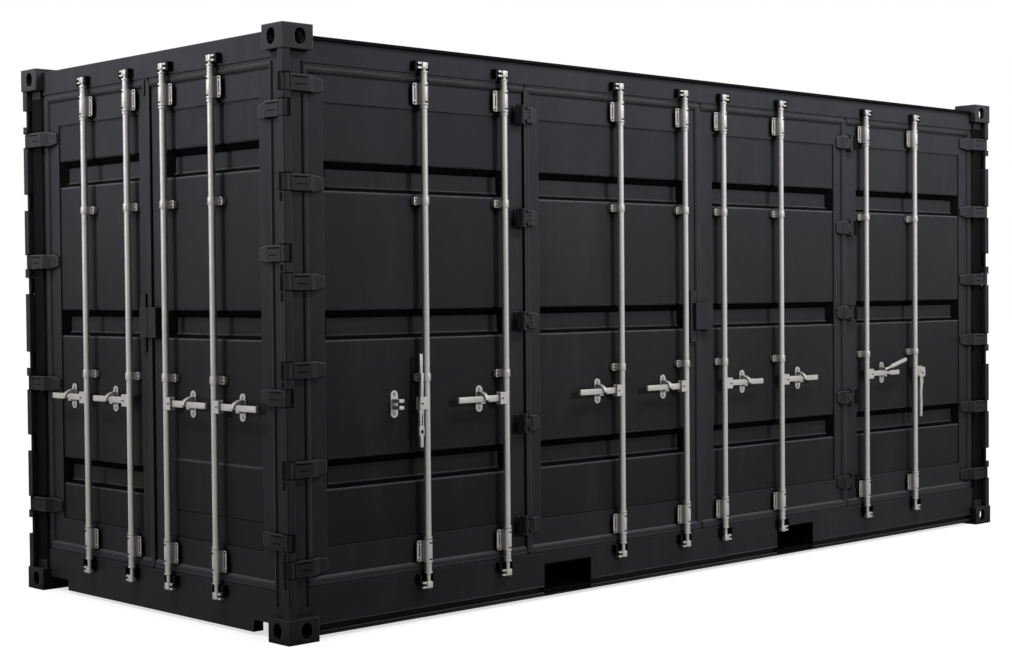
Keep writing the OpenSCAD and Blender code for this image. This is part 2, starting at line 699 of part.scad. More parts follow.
// Lock gear, drawn at the rod axis with the handle toward +u
module cam(h) {
  cylinder(r = rod_r + 4, h = 8);
  cylinder(r = rod_r - 6, h = h);
  box(-rod_r, rod_r, -14, 12, h - cam_head, h);
  for (z = [h - cam_head, h - 10]) box(0, cam_jaw, -10, 10, z, z + 10);
}
module lock_rod(z0, z1) {
  pin_u = hub_l - 14;
  translate([0, rod_d, 0]) {
    translate([0, 0, z0 - 6]) cylinder(r = rod_r, h = z1 - z0 + 12);
    translate([0, 0, z1 + 2]) cam(cam_over - 2);
    translate([0, 0, z0 - 2]) mirror([0, 0, 1]) cam(cam_under - 2);
    translate([0, 0, z1 - long_in - long_h / 2 - 16]) cylinder(r = rod_r + 4, h = 10);
    translate([0, 0, z0 + long_in + long_h / 2 + 6]) cylinder(r = rod_r + 4, h = 10);
    difference() {
      box(0, hub_l, -rod_r, rod_r, handle_z - hub_h / 2, handle_z + hub_h / 2);
      box(rod_r + 6, hub_l + 1, -handle_t / 2 - 1, handle_t / 2 + 1,
        handle_z - hub_h / 2 - 1, handle_z + hub_h / 2 + 1);
    }
    translate([pin_u, -handle_t / 2 - 2, handle_z]) rotate([-90, 0, 0])
      cylinder(r = hub_pin_r, h = handle_t + 4);
  }
}
// Handle at its pin, with a thin waist where it lies in the catch
module handle() {
  reach = handle_l - hub_l + 14;
  waist = catch_off - hub_l + 14;
  difference() {
    union() {
      box(-12, waist - 20, -handle_t / 2, handle_t / 2, -handle_h / 2, handle_h / 2);
      box(waist - 21, waist + 21, -11, 11, -waist_h / 2, waist_h / 2);
      box(waist + 20, reach - 15, -10, 10, -15, 15);
      translate([reach - 15.5, -10, 0]) rotate([-90, 0, 0]) cylinder(r = 15, h = 20);
    }
    translate([0, -handle_t, 0]) rotate([-90, 0, 0]) cylinder(r = hub_pin_r + pin_fit, h = 2 * handle_t);
  }
}
// Handle that hangs down, with a strap upward where up is more than 0
module hung_handle(reach, up) {
  difference() {
    union() {
      box(-15, 15, -handle_t / 2, handle_t / 2, -46, 12);
      box(-12, 12, -9, 9, -0.55 * reach, -45);
      box(-15, 15, -handle_t / 2, handle_t / 2, -0.72 * reach, -0.55 * reach + 1);
      box(-10, 10, -8, 8, 10 - reach, -0.72 * reach + 1);
      translate([0, -8, 10 - reach]) rotate([-90, 0, 0]) cylinder(r = 10.5, h = 16);
      if (up > 0) box(-16, 4, -handle_t / 2, handle_t / 2, 0, up);
    }
    translate([0, -handle_t, 0]) rotate([-90, 0, 0]) cylinder(r = hub_pin_r + pin_fit, h = 2 * handle_t);
  }
}
module at_hub() { translate([hub_l - 14, rod_d, handle_z]) children(); }
module bracket(z, high, flange, face) {
  translate([0, 0, z]) difference() {
    union() {
      translate([0, rod_d, -high / 2]) cylinder(r = sleeve_half, h = high);
      box(-sleeve_half, sleeve_half, rod_d, face, -flange / 2, flange / 2);
      box(-flange_half, flange_half, face - flange_t, face, -flange / 2, flange / 2);
    }
    translate([0, rod_d, -high]) cylinder(r = rod_r + rod_fit, h = 2 * high);
  }
}
// Guide bracket, with ears on feet that stand on the panel
module guide(z) {
  translate([0, 0, z]) difference() {
    union() {
      translate([0, rod_d, -guide_h / 2]) cylinder(r = sleeve_half, h = guide_h);
      box(-sleeve_half, sleeve_half, rod_d, panel_face, -guide_h / 2, guide_h / 2);
      box(-guide_half, guide_half, guide_face, guide_face + flange_t, -guide_h / 2, guide_h / 2);
      for (k = [-1, 1])
        box(k > 0 ? sleeve_half + 4 : -guide_half + 2, k > 0 ? guide_half - 2 : -sleeve_half - 4,
          guide_face + 1, panel_face, -guide_h / 2 + 4, guide_h / 2 - 4);
    }
    translate([0, rod_d, -guide_h]) cylinder(r = rod_r + rod_fit, h = 2 * guide_h);
  }
}
module brackets(z0, z1) {
  bracket(z1 - long_in, long_h, flange_h, leaf_face);
  bracket(z0 + long_in, long_h, flange_h, leaf_face);
  guide(guide_top_z);
  guide(body_h / 2 - guide_lo);
}
// Handle catch, kind 0 is empty, 1 has its hook over the handle, 2 has its flap raised
module catch(kind) {
  lug = waist_h / 2 + 1;
  half = kind > 0 ? catch_w / 2 - 3 : catch_w / 2;
  ends = catch_h / 2 - half;
  foot = catch_h / 2 - 10;
  translate([catch_off, 0, handle_z]) {
    translate([0, panel_face - 6, ends]) rotate([-90, 0, 0]) cylinder(r = half, h = 6);
    if (kind == 0) {
      box(-half, half, panel_face - 6, panel_face, -ends, ends);
      translate([0, panel_face - 6, -ends]) rotate([-90, 0, 0]) cylinder(r = half, h = 6);
    } else {
      translate([0, panel_face, 0]) rotate([90, 0, 0]) linear_extrude(6)
        polygon([[-half, ends], [-half, -half], [-9, -foot], [9, -foot], [half, -half], [half, ends]]);
      translate([0, panel_face - 6, -foot]) rotate([-90, 0, 0]) cylinder(r = 10, h = 6);
    }
    for (k = [-1, 1])
      box(-16, 16, kind > 0 ? 22 : 12, panel_face - 5, k > 0 ? lug : -lug - 20, k > 0 ? lug + 20 : -lug);
    if (kind == 1) run(-9, 9, [[panel_face - 5, 62], [50, 56], [27, 43], [8, 22], [4, 3], [12, 1], [17, 16],
      [33, 32], [52, 43], [panel_face - 5, 46]]);
    if (kind == 2) {
      translate([0, 5, ends + 4]) rotate([-90, 0, 0]) cylinder(r = 10, h = panel_face - 7);
      translate([0, 15, ends + 4]) rotate([0, -flap_a, 0]) {
        rotate([0, 90, 0]) cylinder(r = 8, h = 0.4 * flap_l);
        translate([0.36 * flap_l, 0, 0]) rotate([0, 90, 0]) cylinder(r = 13, h = 0.64 * flap_l);
      }
    }
  }
}
module at_rod(u, side) { translate([u, 0, 0]) flip_if(side < 0) children(); }
// One row for each rod: place, handle side, handle kind with 1 hung down and 2 hung with a strap, catch kind
far_rods = [[-end_rod_out, -1, 0, 1], [-end_rod_in, -1, 0, 1]];
near_rods = [[end_rod_in, 1, 0, 1], [end_rod_out, 1, 0, 1]];
side_rods = [[-side_rod_a, -1, 2, 0], [-side_rod_b, -1, 0, 1], [-side_rod_c, -1, 0, 1],
  [-side_rod_e, -1, 0, 1], [side_rod_e, 1, 0, 1], [side_rod_c, 1, 0, 1], [side_rod_b, 1, 0, 2],
  [side_rod_a, 1, 1, 0]];
module rods_of(rows, z0, z1) { color("#a9aaa6") for (r = rows) at_rod(r[0], r[1]) lock_rod(z0, z1); }
module handles_of(rows) {
  color("#b4b5b1") for (r = rows) at_rod(r[0], r[1]) at_hub() {
    if (r[2] == 0) handle();
    if (r[2] == 1) hung_handle(handle_l - 46, 0);
    if (r[2] == 2) hung_handle(0.63 * handle_l, 0.69 * handle_l);
  }
}
module brackets_of(rows, z0, z1) { color("#9a9a96") for (r = rows) at_rod(r[0], r[1]) brackets(z0, z1); }
module catches_of(rows) { color("#a6a6a2") for (r = rows) at_rod(r[0], r[1]) catch(r[3]); }
module far_leaf_lock_rods() { end_face() rods_of(far_rods, end_z0, end_z1); }
module near_leaf_lock_rods() { end_face() rods_of(near_rods, end_z0, end_z1); }
module side_lock_rods() { side_face() rods_of(side_rods, side_z0, side_z1); }
module far_leaf_handles() { end_face() handles_of(far_rods); }
module near_leaf_handles() { end_face() handles_of(near_rods); }
module side_handles() { side_face() handles_of(side_rods); }
module far_leaf_brackets() {
  end_face() { brackets_of(far_rods, end_z0, end_z1); catches_of(far_rods); }
}
module near_leaf_brackets() {
  end_face() { brackets_of(near_rods, end_z0, end_z1); catches_of(near_rods); }
}
module side_lock_brackets() { side_face() brackets_of(side_rods, side_z0, side_z1); }
module side_handle_catches() { side_face() catches_of(side_rods); }
// Cam keepers, open to the front so that the doors can swing
module keeper(z0, z1) {
  box(-rod_r - 16, cam_jaw + 16, rail_face - 5, rail_face, z0, z1);
  box(-rod_r - 16, -rod_r - 7, rod_d - 8, rail_face, z0, z1);
  box(cam_jaw + 7, cam_jaw + 16, rod_d - 8, rail_face, z0, z1);
}
module keepers(rows, z0, z1) {
  color("#1e1e20") for (r = rows) at_rod(r[0], r[1]) {
    keeper(z1 + 13, z1 + 60);
    keeper(z0 - 60, z0 - 13);
  }
}
module end_cam_keepers() { end_face() keepers(concat(far_rods, near_rods), end_z0, end_z1); }
module side_cam_keepers() { side_face() keepers(side_rods, side_z0, side_z1); }
// Lock boxes over the seams, open below
module box_shell(u0, u1, z, left, right) {
  z0 = z - box_h / 2;
  z1 = z + box_h / 2;
  box(u0, u1, box_face, box_face + box_t, z0, z1);
  box(u0, u1, box_face, leaf_face, z1 - box_t, z1);
  if (left) box(u0, u0 + box_t, box_face, leaf_face, z0, z1);
  if (right) box(u1 - box_t, u1, box_face, leaf_face, z0, z1);
}
module seam_bar(z) { box(-98, -leaf_gap - seal_w - 6, leaf_face - 17, leaf_face, z - 147, z + 147); }
module seal_clear(z) {
  box(-leaf_gap - seal_w - 2, -1, leaf_face - seal_h - 2, leaf_face + 1, z - 200, z + 200);
}
module far_leaf_lock_box() {
  color("#3a3a3e") end_face() difference() {
    union() { box_shell(-box_w / 2, -box_gap, box_z, true, false); seam_bar(box_z); }
    seal_clear(box_z);
  }
}
module near_leaf_lock_box() { color("#3a3a3e") end_face() box_shell(box_gap, box_w / 2, box_z, false, true); }
module side_lock_box() {
  color("#3a3a3e") side_face() difference() {
    union() { box_shell(-box_w / 2, box_w / 2, side_mid, true, true); seam_bar(side_mid); }
    seal_clear(side_mid);
  }
}

bottom_castings();
top_castings();
post_door_near();
post_door_far();
post_front_near();
post_front_far();
end_header();
end_sill();
front_top_rail();
front_bottom_rail();
door_side_top_rail();
door_side_bottom_rail();
wall_side_top_rail();
wall_side_bottom_rail();
side_wall();
front_wall();
roof_sheet();
roof_corner_plates();
floor_boards();
cross_members();
fork_pockets();
end_cam_keepers();
side_cam_keepers();
side_leaf_1_frame();
side_leaf_2_frame();
side_leaf_3_frame();
side_leaf_4_frame();
side_leaf_1_panel();
side_leaf_2_panel();
side_leaf_3_panel();
side_leaf_4_panel();
side_seals();
side_post_hinges();
side_fold_hinges();
side_lock_rods();
side_handles();
side_lock_brackets();
side_handle_catches();
side_lock_box();
far_leaf_frame();
far_leaf_panel();
far_leaf_seal();
far_leaf_hinges();
far_leaf_lock_rods();
far_leaf_handles();
far_leaf_brackets();
far_leaf_lock_box();
near_leaf_frame();
near_leaf_panel();
near_leaf_seal();
near_leaf_hinges();
near_leaf_lock_rods();
near_leaf_handles();
near_leaf_brackets();
near_leaf_lock_box();
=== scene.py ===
"""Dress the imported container: a finish for every node, small fittings, the studio and the camera."""
import json
import logging
import math
from collections.abc import Iterable
from dataclasses import dataclass, field
from enum import Enum
from typing import Union

import bmesh
import bpy
from mathutils import Euler, Matrix, Vector


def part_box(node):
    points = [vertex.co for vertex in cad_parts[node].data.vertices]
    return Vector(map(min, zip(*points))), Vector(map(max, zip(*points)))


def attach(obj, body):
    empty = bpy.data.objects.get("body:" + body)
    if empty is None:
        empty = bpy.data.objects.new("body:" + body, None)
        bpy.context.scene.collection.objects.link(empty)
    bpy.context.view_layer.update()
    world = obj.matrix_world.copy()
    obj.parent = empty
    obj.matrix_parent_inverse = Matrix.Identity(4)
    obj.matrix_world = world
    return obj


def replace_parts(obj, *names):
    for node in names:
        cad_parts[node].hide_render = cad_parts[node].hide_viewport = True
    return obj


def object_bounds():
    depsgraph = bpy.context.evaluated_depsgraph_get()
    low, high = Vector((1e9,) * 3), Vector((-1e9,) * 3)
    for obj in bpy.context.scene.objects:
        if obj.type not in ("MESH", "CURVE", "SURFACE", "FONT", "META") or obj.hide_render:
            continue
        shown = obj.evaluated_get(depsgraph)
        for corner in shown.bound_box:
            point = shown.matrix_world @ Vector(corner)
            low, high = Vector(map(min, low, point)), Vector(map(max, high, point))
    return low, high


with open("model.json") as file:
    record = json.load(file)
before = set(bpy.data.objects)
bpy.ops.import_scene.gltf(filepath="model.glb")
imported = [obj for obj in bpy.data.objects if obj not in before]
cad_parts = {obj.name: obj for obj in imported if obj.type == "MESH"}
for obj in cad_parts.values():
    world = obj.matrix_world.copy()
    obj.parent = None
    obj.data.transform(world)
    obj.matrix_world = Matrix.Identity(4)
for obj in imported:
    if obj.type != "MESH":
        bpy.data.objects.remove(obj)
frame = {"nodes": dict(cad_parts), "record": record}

LOG = logging.getLogger("container")
CAD_BOX = [list(corner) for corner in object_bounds()]
Colour = tuple[float, float, float]
Point = tuple[float, float, float]
LEAF_GAP = 0.006
RAIL_IN = 0.18
SAME = 1e-6
SHARP = math.radians(38.0)
ROD_LAND = 0.054
END_ROD_SHARE, SIDE_ROD_SHARE = 0.557, 0.477
END_BAND_IN, SIDE_BAND_IN = 0.446, 0.5245
END_HINGES = (0.476, 1.152, 1.828, 2.504)
SIDE_HINGES = (0.3505, 0.8155, 1.2805, 1.6945, 2.1595, 2.6245)
Number = Union[float, int, "Wire"]


class Face(Enum):
    """The two door faces, each with its own frame: u to the right from outside, d inward, z up."""

    END = "end"
    SIDE = "side"

    def frame(self) -> Matrix:
        """Give this face's frame.

        Returns:
            The matrix from it to the container's frame.
        """
        (x0, y0, _), _ = CAD_BOX
        if self is Face.END:
            return Matrix.Translation((x0, 0.0, 0.0)) @ Matrix.Rotation(-math.pi / 2, 4, "Z")
        return Matrix.Translation((0.0, y0, 0.0))


class Slot(Enum):
    """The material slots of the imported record."""

    FRAME = "painted_frame"
    SHEET = "painted_sheet"
    CAST = "cast_steel"
    HINGE = "hinge_steel"
    BLACK = "black_steel"
    UNDER = "underframe"
    SEAL = "door_seal"
    ZINC = "galvanised"
    PLY = "plywood"


class Body(Enum):
    """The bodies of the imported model."""

    SHELL = "container"
    FAR_DOOR = "far_end_door"
    NEAR_DOOR = "near_end_door"


class Wire:
    """A value socket that takes part in Python arithmetic; each operation adds one Math node."""

    def __init__(self, tree: bpy.types.NodeTree, socket: bpy.types.NodeSocket) -> None:
        """Wrap one output socket of a node tree."""
        self.tree = tree
        self.socket = socket

    def math(self, operation: str, *operands: Number, clamp: bool = False) -> "Wire":
        """Add one Math node.

        Args:
            operation: The Math node's operation.
            operands: Numbers or wires for its inputs, in order.
            clamp: Whether the result stays between 0 and 1.

        Returns:
            The node's result.
        """
        node = self.tree.nodes.new("ShaderNodeMath")
        node.operation = operation
        node.use_clamp = clamp
        for socket, value in zip(node.inputs, operands):
            if isinstance(value, Wire):
                self.tree.links.new(value.socket, socket)
            else:
                socket.default_value = float(value)
        return Wire(self.tree, node.outputs[0])

    def __add__(self, other: Number) -> "Wire":
        """Sum."""
        return self.math("ADD", self, other)

    def __radd__(self, other: Number) -> "Wire":
        """Sum with the number first."""
        return self.math("ADD", other, self)

    def __sub__(self, other: Number) -> "Wire":
        """Difference."""
        return self.math("SUBTRACT", self, other)

    def __rsub__(self, other: Number) -> "Wire":
        """Difference with the number first."""
        return self.math("SUBTRACT", other, self)

    def __mul__(self, other: Number) -> "Wire":
        """Product."""
        return self.math("MULTIPLY", self, other)

    def __rmul__(self, other: Number) -> "Wire":
        """Product with the number first."""
        return self.math("MULTIPLY", other, self)

    def __truediv__(self, other: Number) -> "Wire":
        """Quotient."""
        return self.math("DIVIDE", self, other)

    def __rtruediv__(self, other: Number) -> "Wire":
        """Quotient with the number first."""
        return self.math("DIVIDE", other, self)

    def __pow__(self, other: Number) -> "Wire":
        """Power."""
        return self.math("POWER", self, other)

    def clamped(self) -> "Wire":
        """The value held between 0 and 1."""
        return self.math("ADD", self, 0.0, clamp=True)

    def rise(self, low: float, high: float) -> "Wire":
        """0 at low, 1 at high, straight between them."""
        return self.math("MULTIPLY", self - low, 1.0 / (high - low), clamp=True)


class Recipe:
    """One procedural material around a Principled shader, on Object coordinates."""

    def __init__(self, name: str) -> None:
        """Start an empty material.

        Args:
            name: The material's name.
        """
        self.material = bpy.data.materials.new(name)
        self.material.use_nodes = True
        self.tree = self.material.node_tree
        self.tree.nodes.clear()
        self.shader = self.node("ShaderNodeBsdfPrincipled")
        self.out = self.node("ShaderNodeOutputMaterial", sockets={"Surface": self.shader.outputs[0]})
        self.place = self.node("ShaderNodeTexCoord").outputs["Object"]

    def node(self, kind: str, settings: dict | None = None, sockets: dict | None = None) -> bpy.types.Node:
        """Add one node.

        Args:
            kind: The node's type.
            settings: Its own settings, set first.
            sockets: A number, colour, wire or socket for each named or numbered input.

        Returns:
            The new node.
        """
        made = self.tree.nodes.new(kind)
        for key, value in (settings or {}).items():
            setattr(made, key, value)
        for key, value in (sockets or {}).items():
            self.put(made.inputs[key], value)
        return made

    def put(self, socket: bpy.types.NodeSocket, value: object) -> None:
        """Link a wire or socket to an input, or set its value.

        Args:
            socket: The input.
            value: A number, colour, wire or socket.
        """
        if isinstance(value, Wire):
            self.tree.links.new(value.socket, socket)
        elif isinstance(value, bpy.types.NodeSocket):
            self.tree.links.new(value, socket)
        elif isinstance(value, tuple) and len(value) == 3 and socket.type == "RGBA":
            socket.default_value = (*value, 1.0)
        else:
            socket.default_value = value

    def wire(self, socket: bpy.types.NodeSocket) -> Wire:
        """Wrap an output socket for arithmetic."""
        return Wire(self.tree, socket)

    def stretched(self, scale: Point) -> bpy.types.NodeSocket:
        """Object coordinates scaled by axis."""
        return self.node("ShaderNodeMapping", sockets={"Vector": self.place, "Scale": scale}).outputs[0]

    def noise(self, scale: float, detail: float = 3.0, rough: float = 0.5,
              place: bpy.types.NodeSocket | None = None) -> Wire:
        """Fractal noise.

        Args:
            scale: Waves to a metre.
            detail: Octaves.
            rough: Weight of the finer octaves.
            place: Coordinates other than plain Object coordinates.

        Returns:
            The noise between 0 and 1.
        """
        made = self.node("ShaderNodeTexNoise", sockets={
            "Vector": place or self.place, "Scale": scale, "Detail": detail, "Roughness": rough})
        return self.wire(made.outputs[0])

    def cells(self, scale: float, feature: str = "F1",
              place: bpy.types.NodeSocket | None = None) -> bpy.types.Node:
        """A Voronoi pattern with that many cells to a metre."""
        return self.node("ShaderNodeTexVoronoi", {"feature": feature}, {
            "Vector": place or self.place, "Scale": scale})

    def axis(self, letter: str) -> Wire:
        """One Object coordinate in metres."""
        made = self.node("ShaderNodeSeparateXYZ", sockets={0: self.place})
        return self.wire(made.outputs[letter])

    def blend(self, share: Number, first: object, second: object, how: str = "MIX") -> bpy.types.NodeSocket:
        """Mix two colours.

        Args:
            share: Part of the second colour.
            first: Colour or socket.
            second: Colour or socket.
            how: The Mix node's blend type.

        Returns:
            The mixed colour's socket.
        """
        made = self.node("ShaderNodeMix", {"data_type": "RGBA", "blend_type": how})
        self.put(made.inputs[0], share)
        self.put(made.inputs[6], first)
        self.put(made.inputs[7], second)
        return made.outputs[2]

    def edges(self, radius: float) -> tuple[Wire, bpy.types.NodeSocket]:
        """Find the edges of a piece by the rounding of its corners.

        Args:
            radius: Radius of the rounding in metres.

        Returns:
            A mask that is high on edges, and the rounded normal.
        """
        soft = self.node("ShaderNodeBevel", {"samples": 4}, {"Radius": radius}).outputs[0]
        flat = self.node("ShaderNodeNewGeometry").outputs["Normal"]
        dot = self.node("ShaderNodeVectorMath", {"operation": "DOT_PRODUCT"}, {0: soft, 1: flat})
        return (1.0 - self.wire(dot.outputs["Value"])).rise(0.02, 0.2), soft

    def tilt(self) -> Wire:
        """Measure how level the surface lies.

        Returns:
            0 on upright faces, 1 on level ones.
        """
        place = self.node("ShaderNodeNewGeometry")
        split = self.node("ShaderNodeSeparateXYZ", sockets={0: place.outputs["True Normal"]})
        up = self.wire(split.outputs["Z"])
        return up.math("ABSOLUTE", up)

    def skew(self) -> Wire:
        """Measure how far the surface is turned in plan from both door faces.

        Returns:
            0 to 1 near the two door faces, 0 elsewhere.
        """
        place = self.node("ShaderNodeNewGeometry")
        split = self.node("ShaderNodeSeparateXYZ", sockets={0: place.outputs["True Normal"]})
        both = self.wire(split.outputs["X"]) * self.wire(split.outputs["Y"])
        doors = (2.0 - self.axis("X").rise(-2.86, -2.82) - self.axis("Y").rise(-1.06, -1.02)).clamped()
        return both.math("ABSOLUTE", both).rise(0.2, 0.4) * doors

    def crevice(self, reach: float) -> Wire:
        """How closed in the surface is by others within that reach, 0 to 1."""
        near = self.node("ShaderNodeAmbientOcclusion", {"samples": 4, "only_local": False}, {"Distance": reach})
        return 1.0 - self.wire(near.outputs["AO"])

    def bump(self, height: Wire, depth: float, normal: bpy.types.NodeSocket | None = None,
             strength: float = 1.0) -> bpy.types.NodeSocket:
        """Turn a height into a normal.

        Args:
            height: Height between 0 and 1.
            depth: Metres that a height of 1 stands for.
            normal: Normal to start from.
            strength: Share of the effect.

        Returns:
            The bumped normal's socket.
        """
        sockets = {"Height": height, "Distance": depth, "Strength": strength}
        if normal is not None:
            sockets["Normal"] = normal
        return self.node("ShaderNodeBump", sockets=sockets).outputs[0]

    def finish(self, **sockets: object) -> bpy.types.Material:
        """Fill the shader's sockets.

        Args:
            sockets: A value for each socket, named with _ for a space.

        Returns:
            The material.
        """
        for key, value in sockets.items():
            self.put(self.shader.inputs[key.replace("_", " ")], value)
        return self.material

    def dim(self, share: Wire, colour: Colour) -> None:
        """Mix the shader toward a matt colour, to paint shade.

        Args:
            share: Part of the matt colour.
            colour: The matt colour.
        """
        matt = self.node("ShaderNodeBsdfDiffuse", sockets={"Color": colour})
        both = self.node("ShaderNodeMixShader", sockets={0: share, 1: self.shader.outputs[0], 2: matt.outputs[0]})
        self.put(self.out.inputs["Surface"], both.outputs[0])


class Mould:
    """A bmesh that collects the shapes of one piece in the frame of one face."""

    def __init__(self, name: str, face: Face) -> None:
        """Start an empty piece.

        Args:
            name: The piece's name.
            face: The face whose frame its shapes are given in.
        """
        self.name = name
        self.frame = face.frame()
        self.bm = bmesh.new()

    def round_off(self, edges: Iterable[bmesh.types.BMEdge], radius: float, segments: int = 2) -> None:
        """Round these edges.

        Args:
            edges: The edges.
            radius: Radius of the rounding.
            segments: Its steps.
        """
        bmesh.ops.bevel(self.bm, geom=list(edges), offset=radius, segments=segments, profile=0.5,
                        affect="EDGES", material=-1, clamp_overlap=True)

    @staticmethod
    def edges_of(verts: Iterable[bmesh.types.BMVert]) -> set[bmesh.types.BMEdge]:
        """All edges at these vertices."""
        return {edge for vert in verts for edge in vert.link_edges}

    def cube(self, low: Point, high: Point) -> list[bmesh.types.BMVert]:
        """Add a plain box.

        Args:
            low: Lowest corner in u, d and z.
            high: Highest corner in u, d and z.

        Returns:
            Its vertices.
        """
        size, middle = Vector(high) - Vector(low), (Vector(high) + Vector(low)) / 2
        place = Matrix.Translation(middle) @ Matrix.Diagonal((*size, 1.0))
        return bmesh.ops.create_cube(self.bm, size=1.0, matrix=place)["verts"]

    def block(self, low: Point, high: Point, edge: float = 0.0, segments: int = 2) -> None:
        """Add a box.

        Args:
            low: Lowest corner in u, d and z.
            high: Highest corner in u, d and z.
            edge: Radius of its edges.
            segments: Steps of the rounding.
        """
        verts = self.cube(low, high)
        if edge:
            self.round_off(self.edges_of(verts), edge, segments)

    def slab(self, low: Point, high: Point, corner: float) -> None:
        """Add a plate that lies on the face, with rounded corners.

        Args:
            low: Lowest corner in u, d and z.
            high: Highest corner in u, d and z.
            corner: Radius of its four corners.
        """
        through = [e for e in self.edges_of(self.cube(low, high))
                   if abs(e.verts[0].co.y - e.verts[1].co.y) > SAME]
        self.round_off(through, corner, 5)

    def bar(self, start: Point, end: Point, wide: float, thick: float, edge: float = 0.003) -> None:
        """Add a straight bar between two points.

        Args:
            start: Middle of its first end.
            end: Middle of its other end.
            wide: Half of its width, along u or, for a bar that runs along u, along d.
            thick: Half of its thickness.
            edge: Rounding of its edges.
        """
        run = Vector(end) - Vector(start)
        ahead = run.normalized()
        side = Vector((1.0, 0.0, 0.0)) if abs(ahead.x) < 0.5 else Vector((0.0, 1.0, 0.0))
        third = ahead.cross(side).normalized()
        turn = Matrix((third.cross(ahead), third, ahead)).transposed().to_4x4()
        place = Matrix.Translation((Vector(start) + Vector(end)) / 2) @ turn
        made = bmesh.ops.create_cube(self.bm, size=1.0, matrix=place @ Matrix.Diagonal(
            (2.0 * wide, 2.0 * thick, run.length + thick, 1.0)))
        self.round_off(self.edges_of(made["verts"]), edge, 3)

    def wedge(self, low: Point, high: Point, point: Point, normal: Point) -> None:
        """Add a box, cut off what lies past a plane, and close the cut.

        Args:
            low: Lowest corner of the box.
            high: Highest corner of the box.
            point: A point on the plane.
            normal: The side of the plane that is cut off.
        """
        verts = self.cube(low, high)
        faces = {face for vert in verts for face in vert.link_faces}
        made = bmesh.ops.bisect_plane(self.bm, geom=[*verts, *self.edges_of(verts), *faces],
                                      plane_co=point, plane_no=normal, clear_outer=True)
        rim = [part for part in made["geom_cut"] if isinstance(part, bmesh.types.BMEdge)]
        bmesh.ops.edgeloop_fill(self.bm, edges=rim)

    def disc(self, at: Point, radius: float, high: float, sides: int = 12, edge: float = 0.0) -> None:
        """Add a disc that stands out from the face.

        Args:
            at: Middle of its back, in u, d and z.
            radius: Radius.
            high: Height toward the outside.
            sides: Sides of the circle.
            edge: Rounding of its front rim.
        """
        middle = Vector(at) + Vector((0.0, -high / 2, 0.0))
        place = Matrix.Translation(middle) @ Matrix.Rotation(math.pi / 2, 4, "X")
        made = bmesh.ops.create_cone(self.bm, cap_ends=True, segments=sides, radius1=radius, radius2=radius,
                                     depth=high, matrix=place)
        if edge:
            self.round_off([e for e in self.edges_of(made["verts"])
                            if all(v.co.y < at[1] - high / 2 for v in e.verts)], edge)

    def post(self, at: Point, radius: float, high: float, sides: int = 16, edge: float = 0.0) -> None:
        """Add an upright cylinder.

        Args:
            at: Middle of its foot.
            radius: Radius.
            high: Height.
            sides: Sides of the circle.
            edge: Rounding of its rims.
        """
        place = Matrix.Translation(Vector(at) + Vector((0.0, 0.0, high / 2)))
        made = bmesh.ops.create_cone(self.bm, cap_ends=True, segments=sides, radius1=radius, radius2=radius,
                                     depth=high, matrix=place)
        if edge:
            self.round_off([e for e in self.edges_of(made["verts"])
                            if abs(e.verts[0].co.z - e.verts[1].co.z) < SAME], edge)

    def make(self, body: Body, slot: Slot, finishes: "Finishes") -> bpy.types.Object:
        """Turn the collected shapes into a piece.

        Args:
            body: The body that it rides on.
            slot: The record's slot for its finish.
            finishes: The finishes.

        Returns:
            The new object.
        """
        bmesh.ops.recalc_face_normals(self.bm, faces=self.bm.faces)
        bmesh.ops.transform(self.bm, matrix=self.frame, verts=self.bm.verts)
        mesh = bpy.data.meshes.new(self.name)
        self.bm.to_mesh(mesh)
        self.bm.free()
        mesh.shade_smooth()
        mesh.set_sharp_from_angle(angle=SHARP)
        mesh.materials.append(finishes.made[slot])
        thing = bpy.data.objects.new(self.name, mesh)
        bpy.context.scene.collection.objects.link(thing)
        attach(thing, body.value)
        LOG.info("piece %s: %d faces on %s", self.name, len(mesh.polygons), body.value)
        return thing


class Hold(Enum):
    """How the handle of a lock rod is left."""

    HOOKED = "hooked"
    RAISED = "raised"
    HUNG = "hung"
    STRAPPED = "strapped"


@dataclass(frozen=True)
class Rod:
    """One lock rod: its place on the face, the side its handle points to, and how that is held."""

    u: float
    hand: int
    catch: float
    reach: float
    hold: Hold = Hold.HOOKED

    def out(self, far: float) -> float:
        """The place that lies so far from the rod on the handle's side."""
        return self.u + self.hand * far


@dataclass
class Leaf:
    """A group of door leaves that moves as one body, with its rods and the ends of its opening."""

    name: str
    face: Face
    body: Body
    rods: tuple[Rod, ...]
    low: float
    high: float

    def bands(self, inset: float) -> tuple[float, float, float]:
        """Heights of the three pressed bands, the outer ones so far from the ends of the opening."""
        middle, step = (self.low + self.high) / 2, (self.high - self.low) / 2 - inset
        return middle - step, middle, middle + step


